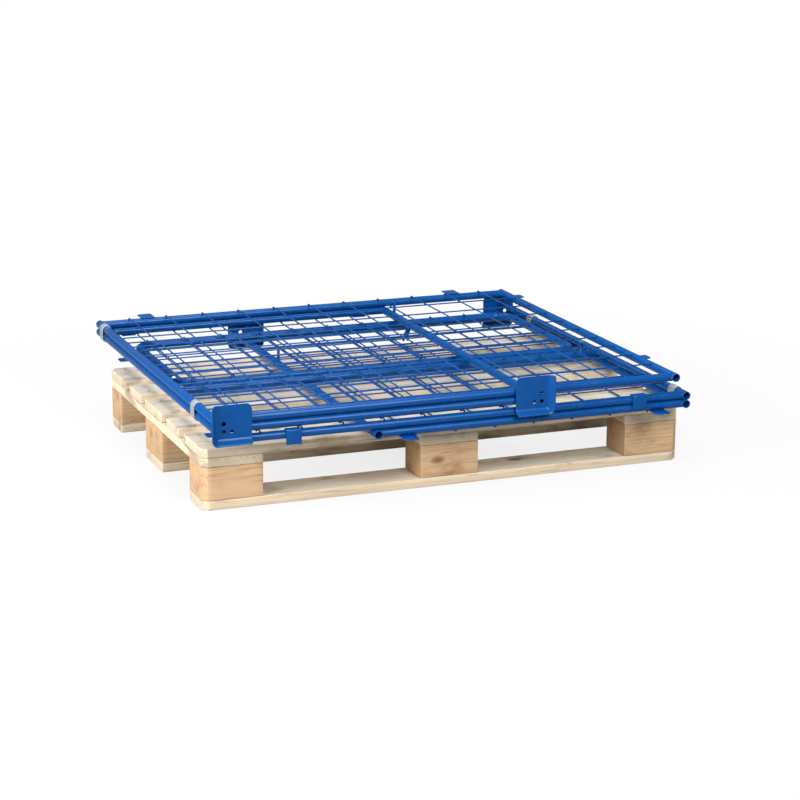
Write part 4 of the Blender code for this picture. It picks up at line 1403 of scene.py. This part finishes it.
@dataclass
class GatedLongPanel(LongPanel):
    """Lower long panel: a fixed half with its grid, and a half gate held by two pull pins."""

    rows: int = 4
    gate_top: float = -0.43475
    gate_low: float = -0.00725
    gate_side: float = 0.045
    gate_corner: float = 0.045
    middle_rail: float = 0.05075
    pin_inset: float = 0.0245
    pin_y: float = -0.01325
    ear_half: float = 0.009
    ear_sunk: float = 0.0015
    sleeve: float = 0.0055
    sleeve_low: float = 0.0018
    sleeve_high: float = 0.0148
    pin: float = 0.003

    def build(self) -> None:
        """Make every piece of the panel."""
        self.post("hinge", 0.0, self.bracket(0.0, self.pin_inset, -1))
        extras = [*self.lugs(), *self.bracket(self.width, self.width - self.pin_inset, 1)]
        self.post("free", self.width, extras)
        self.rail("middle", self.middle_rail)
        self.rail("bottom", self.rail_y, [part for x in self.feet_x() for part in self.seat(x)])
        self.grid("gated_mesh", self.rows, (0.0, self.width), (self.middle_rail, self.rail_y))
        self.gate()
        sides = (self.gate_side, self.width - self.gate_side)
        self.grid("gate_mesh", self.rows, sides, (self.gate_top, self.gate_low))
        self.pull_pin("hinge_side", self.pin_inset)
        self.pull_pin("free_side", self.width - self.pin_inset)

    def seat(self, centre: float) -> list[Shell]:
        """Foot bent from flat bar: upright before the bottom rail, then back over its top."""
        flats = self.flats
        back = self.rail_y + self.tube.radius + self.tube.gap
        front, over = back + flats.seat_thick, self.rail_y - 0.004
        low, bend = -flats.seat_drop, self.tube.radius + flats.seat_clear
        high = bend + flats.thick
        corners = ((front, low), (front, high), (over, high), (over, bend), (back, bend),
                   (back, low))
        radii = (flats.edge, flats.corner, *(flats.edge,) * 4)
        bar = self.flat_bar(filleted(corners, radii, 5), centre - flats.foot_half,
                            centre + flats.foot_half, (1, 2, 0))
        half = flats.foot_half - 0.004
        weld = ((centre - half, back, 0.0), (centre + half, back, 0.0))
        return [bar, self.fillet_weld(*weld, flats.seat_weld)]

    def gate(self) -> None:
        """Bent tube of the gate, with an eye on each lower corner.

        Its path is a rounded rectangle and its section a circle.
        """
        outline = rounded_box((self.gate_side, self.gate_top),
                              (self.width - self.gate_side, self.gate_low), self.gate_corner, 17)
        flat = evenly(outline, 0.05)
        path = np.concatenate([flat, np.zeros((len(flat), 1))], 1)
        section = circle((0, 0), self.tube.radius, 40)
        shell = Shell.of(carried(path, section, (0, 0, 1)), wrap_rows=True)
        ear_depth = self.gate_corner - 0.006
        outside = math.sqrt((self.gate_corner + self.tube.radius) ** 2 - ear_depth ** 2)
        for side, x in ((-1, self.pin_inset), (1, self.width - self.pin_inset)):
            bend = x - side * (self.gate_side - self.pin_inset + self.gate_corner)
            near = bend + side * (outside - self.ear_sunk)
            half = self.flats.thick / 2
            shell.join([self.eyed_plate(near, x, side, -half, half)])
        self.finish(shell, "gate_frame", "tube")

    def eyed_plate(self, near: float, x: float, side: int, low: float, high: float) -> Shell:
        """Small plate with a hole for the pin, its far edge rounded about the hole.

        Args:
            near: x of the edge that is welded.
            x: x of the hole.
            side: +1 where the plate lies beyond the hole's side of larger x, else -1.
            low: lower face.
            high: upper face.

        Returns:
            The shell.
        """
        y, half = self.pin_y, self.ear_half
        edge = rounded_box((near, y - half), (x + side * half, y + half),
                           (0.0004, 0.006, 0.006, 0.0004), 5)
        hole = circle((x, y), self.pin + self.tube.gap, 20)
        flat, faces = punched(edge, [hole], 0.004)
        count = len(flat)
        points = [np.concatenate([flat, np.full((count, 1), z)], 1) for z in (low, high)]
        walls = []
        for loop, first in ((edge, 0), (hole, len(edge))):
            for k in range(len(loop)):
                here, there = first + k, first + (k + 1) % len(loop)
                walls.append((here, there, there + count, here + count))
        tops = [tuple(index + count for index in face) for face in faces]
        shell = Shell()
        shell.add_mesh(np.concatenate(points), [*faces, *tops, *walls])
        return shell

    def bracket(self, post_x: float, x: float, side: int) -> list[Shell]:
        """Plate on a post, above the gate's eye, with the sleeve that guides the pin."""
        low, high = self.sleeve_low, self.sleeve_low + self.flats.thick
        plate = self.eyed_plate(post_x - side * 0.009, x, -side, low, high)
        foot = high - 0.0002
        profile = round_wall_profile(self.sleeve_high - foot, self.sleeve,
                                     self.pin + self.tube.gap, self.tube.lip)
        tube = turned_shape((x, self.pin_y, foot), (0, 0, 1), profile, 24)
        ring = circle((x, self.pin_y), self.sleeve + self.tube.gap, 24)
        path = np.concatenate([ring, np.full((24, 1), foot + 0.0004)], 1)
        collar = carried(path, circle((0, 0), 0.0011, 8), (0, 0, 1))
        return [plate, Shell.of(tube, wrap_rows=True), Shell.of(collar, wrap_rows=True)]

    def pull_pin(self, which: str, x: float) -> None:
        """Turned pin with a round head, domed on top, that rests on its sleeve."""
        node = f"gate_pin_{which}"
        top = self.sleeve_high + self.tube.gap
        shank = [(-0.0235, 0), (-0.0235, 0.0018), (-0.0225, 0.0028), (-0.0215, self.pin),
                 (0, self.pin)]
        head = [(0, 0.0042), (0.0002, 0.0049), (0.0008, 0.0055), (0.0017, 0.0059),
                (0.0027, 0.0060), (0.0037, 0.0057), (0.0046, 0.0050), (0.0053, 0.0039),
                (0.0058, 0.0025), (0.0060, 0.0010), (0.0060, 0)]
        profile = np.array([*shank, *head])
        shell = Shell.of(turned_shape((x, self.pin_y, top), (0, 0, 1), profile, 32))
        item = shell.piece(f"{node}_turned", self.place)
        dress(item, self.finishes.pin, node, node)


@dataclass(frozen=True)
class Cage:
    """The two folded units, each a short panel with a long one on it."""

    long_width: float = 1.1345
    short_width: float = 0.783
    lower_catch: float = 0.280
    lower_rise: float = 0.030
    upper_catch: float = 0.062
    upper_rise: float = 0.029
    fork: float = 0.198

    @staticmethod
    def axis_of(node: str, turned: bool) -> Place:
        """Frame of the panel whose hinge post is this node."""
        low, high = (np.array(corner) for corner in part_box(node))
        return Place(tuple((low + high) / 2), turned)

    def build(self, finishes: Finishes) -> None:
        """Make the four panels."""
        lower = ShortPanel("lower", "lower_short_panel", self.axis_of("lower_post_hinge", True),
                           self.short_width, -1, finishes)
        lower.post_extras = [lower.catch(self.lower_catch - lower.half_post, -1, self.lower_rise)]
        lower.build()
        x, y, z = lower.place.origin
        rise = 2 * lower.tube.radius + lower.tube.gap
        GatedLongPanel("gated", "lower_long_panel", Place((x, y, z + rise), True), self.long_width,
                       1, finishes).build()
        upper = ShortPanel("upper", "upper_short_panel", self.axis_of("upper_post_hinge", False),
                           self.short_width, -1, finishes)
        upper.post_extras = [upper.catch(upper.half_post - self.upper_catch, 1, self.upper_rise),
                             upper.fork(upper.half_post - self.fork)]
        upper.build()
        PlainLongPanel("plain", "upper_long_panel", self.axis_of("plain_post_hinge", False),
                       self.long_width, 1, finishes).build()


# ---------------------------------------------------------------- studio


@dataclass(frozen=True)
class Studio:
    """Pale floor, soft light and the camera, all at plain levels."""

    eye: tuple[float, float, float] = (-2.0018, -5.1340, 1.5611)
    yaw: float = 21.624
    pitch: float = 14.799
    roll: float = 0.322
    focal_px: float = 2299.2
    frame_px: float = 800.0
    sensor_mm: float = 36.0
    view_end: float = 100.0
    sky: float = 0.22
    aim: tuple[float, float, float] = (0.0, 0.0, 0.1)
    floor_half: float = 6.0
    floor_drop: float = 0.0004
    floor_share: float = 0.22
    floor_fade: float = 1.7
    floor_tone: tuple[float, float] = (0.58, 0.62)
    bounce_tone: float = 0.30

    def build(self) -> None:
        """Make the camera, the floor, the world and the lamps."""
        bpy.context.scene.view_settings.view_transform = "Standard"
        self.camera()
        self.floor()
        self.world()
        for name, place, size, watts in (
            ("overhead_softbox", (-0.4, 0.5, 3.0), 2.6, 72.0),
            ("left_softbox", (-3.2, -1.0, 1.5), 2.0, 160.0),
            ("front_softbox", (0.5, -3.4, 2.7), 2.0, 138.0),
        ):
            self.lamp(name, place, size, watts)

    def camera(self) -> None:
        """Camera where the photograph's was: yaw from +Y to +X, pitched down, slightly rolled."""
        data = bpy.data.cameras.new("camera")
        item = new_object("camera", data)
        yaw, pitch, roll = (math.radians(v) for v in (self.yaw, self.pitch, self.roll))
        way = Vector((math.sin(yaw) * math.cos(pitch), math.cos(yaw) * math.cos(pitch),
                      -math.sin(pitch)))
        right = way.cross(Vector((0, 0, 1))).normalized()
        up = right.cross(way)
        side = right * math.cos(roll) + up * math.sin(roll)
        high = up * math.cos(roll) - right * math.sin(roll)
        turn = Matrix((side, high, -way)).transposed().to_4x4()
        item.matrix_world = Matrix.Translation(self.eye) @ turn
        data.sensor_width = self.sensor_mm
        data.lens = self.sensor_mm * self.focal_px / self.frame_px
        data.clip_end = self.view_end
        bpy.context.scene.camera = item

    def floor(self) -> None:
        """Floor that keeps a soft shadow near the object and is plain white further out.

        Light that bounces finds it grey, like the studio floor that the photograph's metal shows.
        """
        g = Graph("white_floor")
        path = g.add("ShaderNodeLightPath").outputs
        seen = g.maths("MAXIMUM", path["Is Camera Ray"], path["Is Transmission Ray"])
        grit = g.add("ShaderNodeTexNoise", {"Scale": 2.0, "Detail": 2.0}).outputs["Fac"]
        tone = g.remap(grit, (0.0, 1.0), self.floor_tone)
        matt = g.add("ShaderNodeBsdfDiffuse", {"Color": tone})
        grey = g.add("ShaderNodeBsdfDiffuse", {"Color": (*(self.bounce_tone,) * 3, 1.0)})
        white = g.add("ShaderNodeEmission", {"Color": (1, 1, 1, 1), "Strength": 1.0})
        near = g.stretched(g.place(), (1 / self.floor_fade,) * 3)
        fade = g.add("ShaderNodeTexGradient", {0: near}, gradient_type="SPHERICAL")
        share = g.maths("MULTIPLY", fade.outputs["Fac"], self.floor_share)
        pale = g.add("ShaderNodeMixShader", {0: share, 1: white.outputs[0], 2: matt.outputs[0]})
        mix = g.add("ShaderNodeMixShader", {0: seen, 1: grey.outputs[0], 2: pale.outputs[0]})
        g.tree.links.new(mix.outputs[0], g.tree.nodes["Material Output"].inputs["Surface"])
        g.tree.nodes.remove(g.shader)
        shell = Shell()
        side = np.linspace(-self.floor_half, self.floor_half, 5)
        east, north = np.meshgrid(side, side)
        shell.add_grid(np.stack([east, north, 0 * north - self.floor_drop], -1), wrap_cols=False)
        item = shell.piece("floor")
        if item.data.polygons[0].normal.z < 0:
            item.data.flip_normals()
        item.data.materials.append(g.material)

    def world(self) -> None:
        """Even pale sky that is white to the camera."""
        world = bpy.data.worlds.new("studio")
        bpy.context.scene.world = world
        world.use_nodes = True
        tree = world.node_tree
        tree.nodes.clear()
        path = tree.nodes.new("ShaderNodeLightPath")
        seen = tree.nodes.new("ShaderNodeMapRange")
        seen.inputs["To Min"].default_value = self.sky
        seen.inputs["To Max"].default_value = 1.0
        sky = tree.nodes.new("ShaderNodeBackground")
        sky.inputs["Color"].default_value = (1.0, 1.0, 1.0, 1.0)
        out = tree.nodes.new("ShaderNodeOutputWorld")
        tree.links.new(path.outputs["Is Camera Ray"], seen.inputs["Value"])
        tree.links.new(seen.outputs["Result"], sky.inputs["Strength"])
        tree.links.new(sky.outputs[0], out.inputs["Surface"])

    def lamp(self, name: str, place: tuple[float, float, float], size: float,
             watts: float) -> None:
        """Square soft lamp at a place, turned to the object."""
        data = bpy.data.lights.new(name, "AREA")
        data.shape = "SQUARE"
        data.size = size
        data.energy = watts
        item = new_object(name, data)
        item.location = place
        way = Vector(place) - Vector(self.aim)
        item.rotation_euler = way.to_track_quat("Z", "Y").to_euler()


def main() -> None:
    """Build the finishes, the pallet, the cage and the studio in order."""
    logging.basicConfig(level=logging.INFO, format="%(name)s %(message)s")
    finishes = Finishes.mixed()
    Pallet().build(finishes)
    Cage().build(finishes)
    Studio().build()


if __name__ == "__main__":
    main()
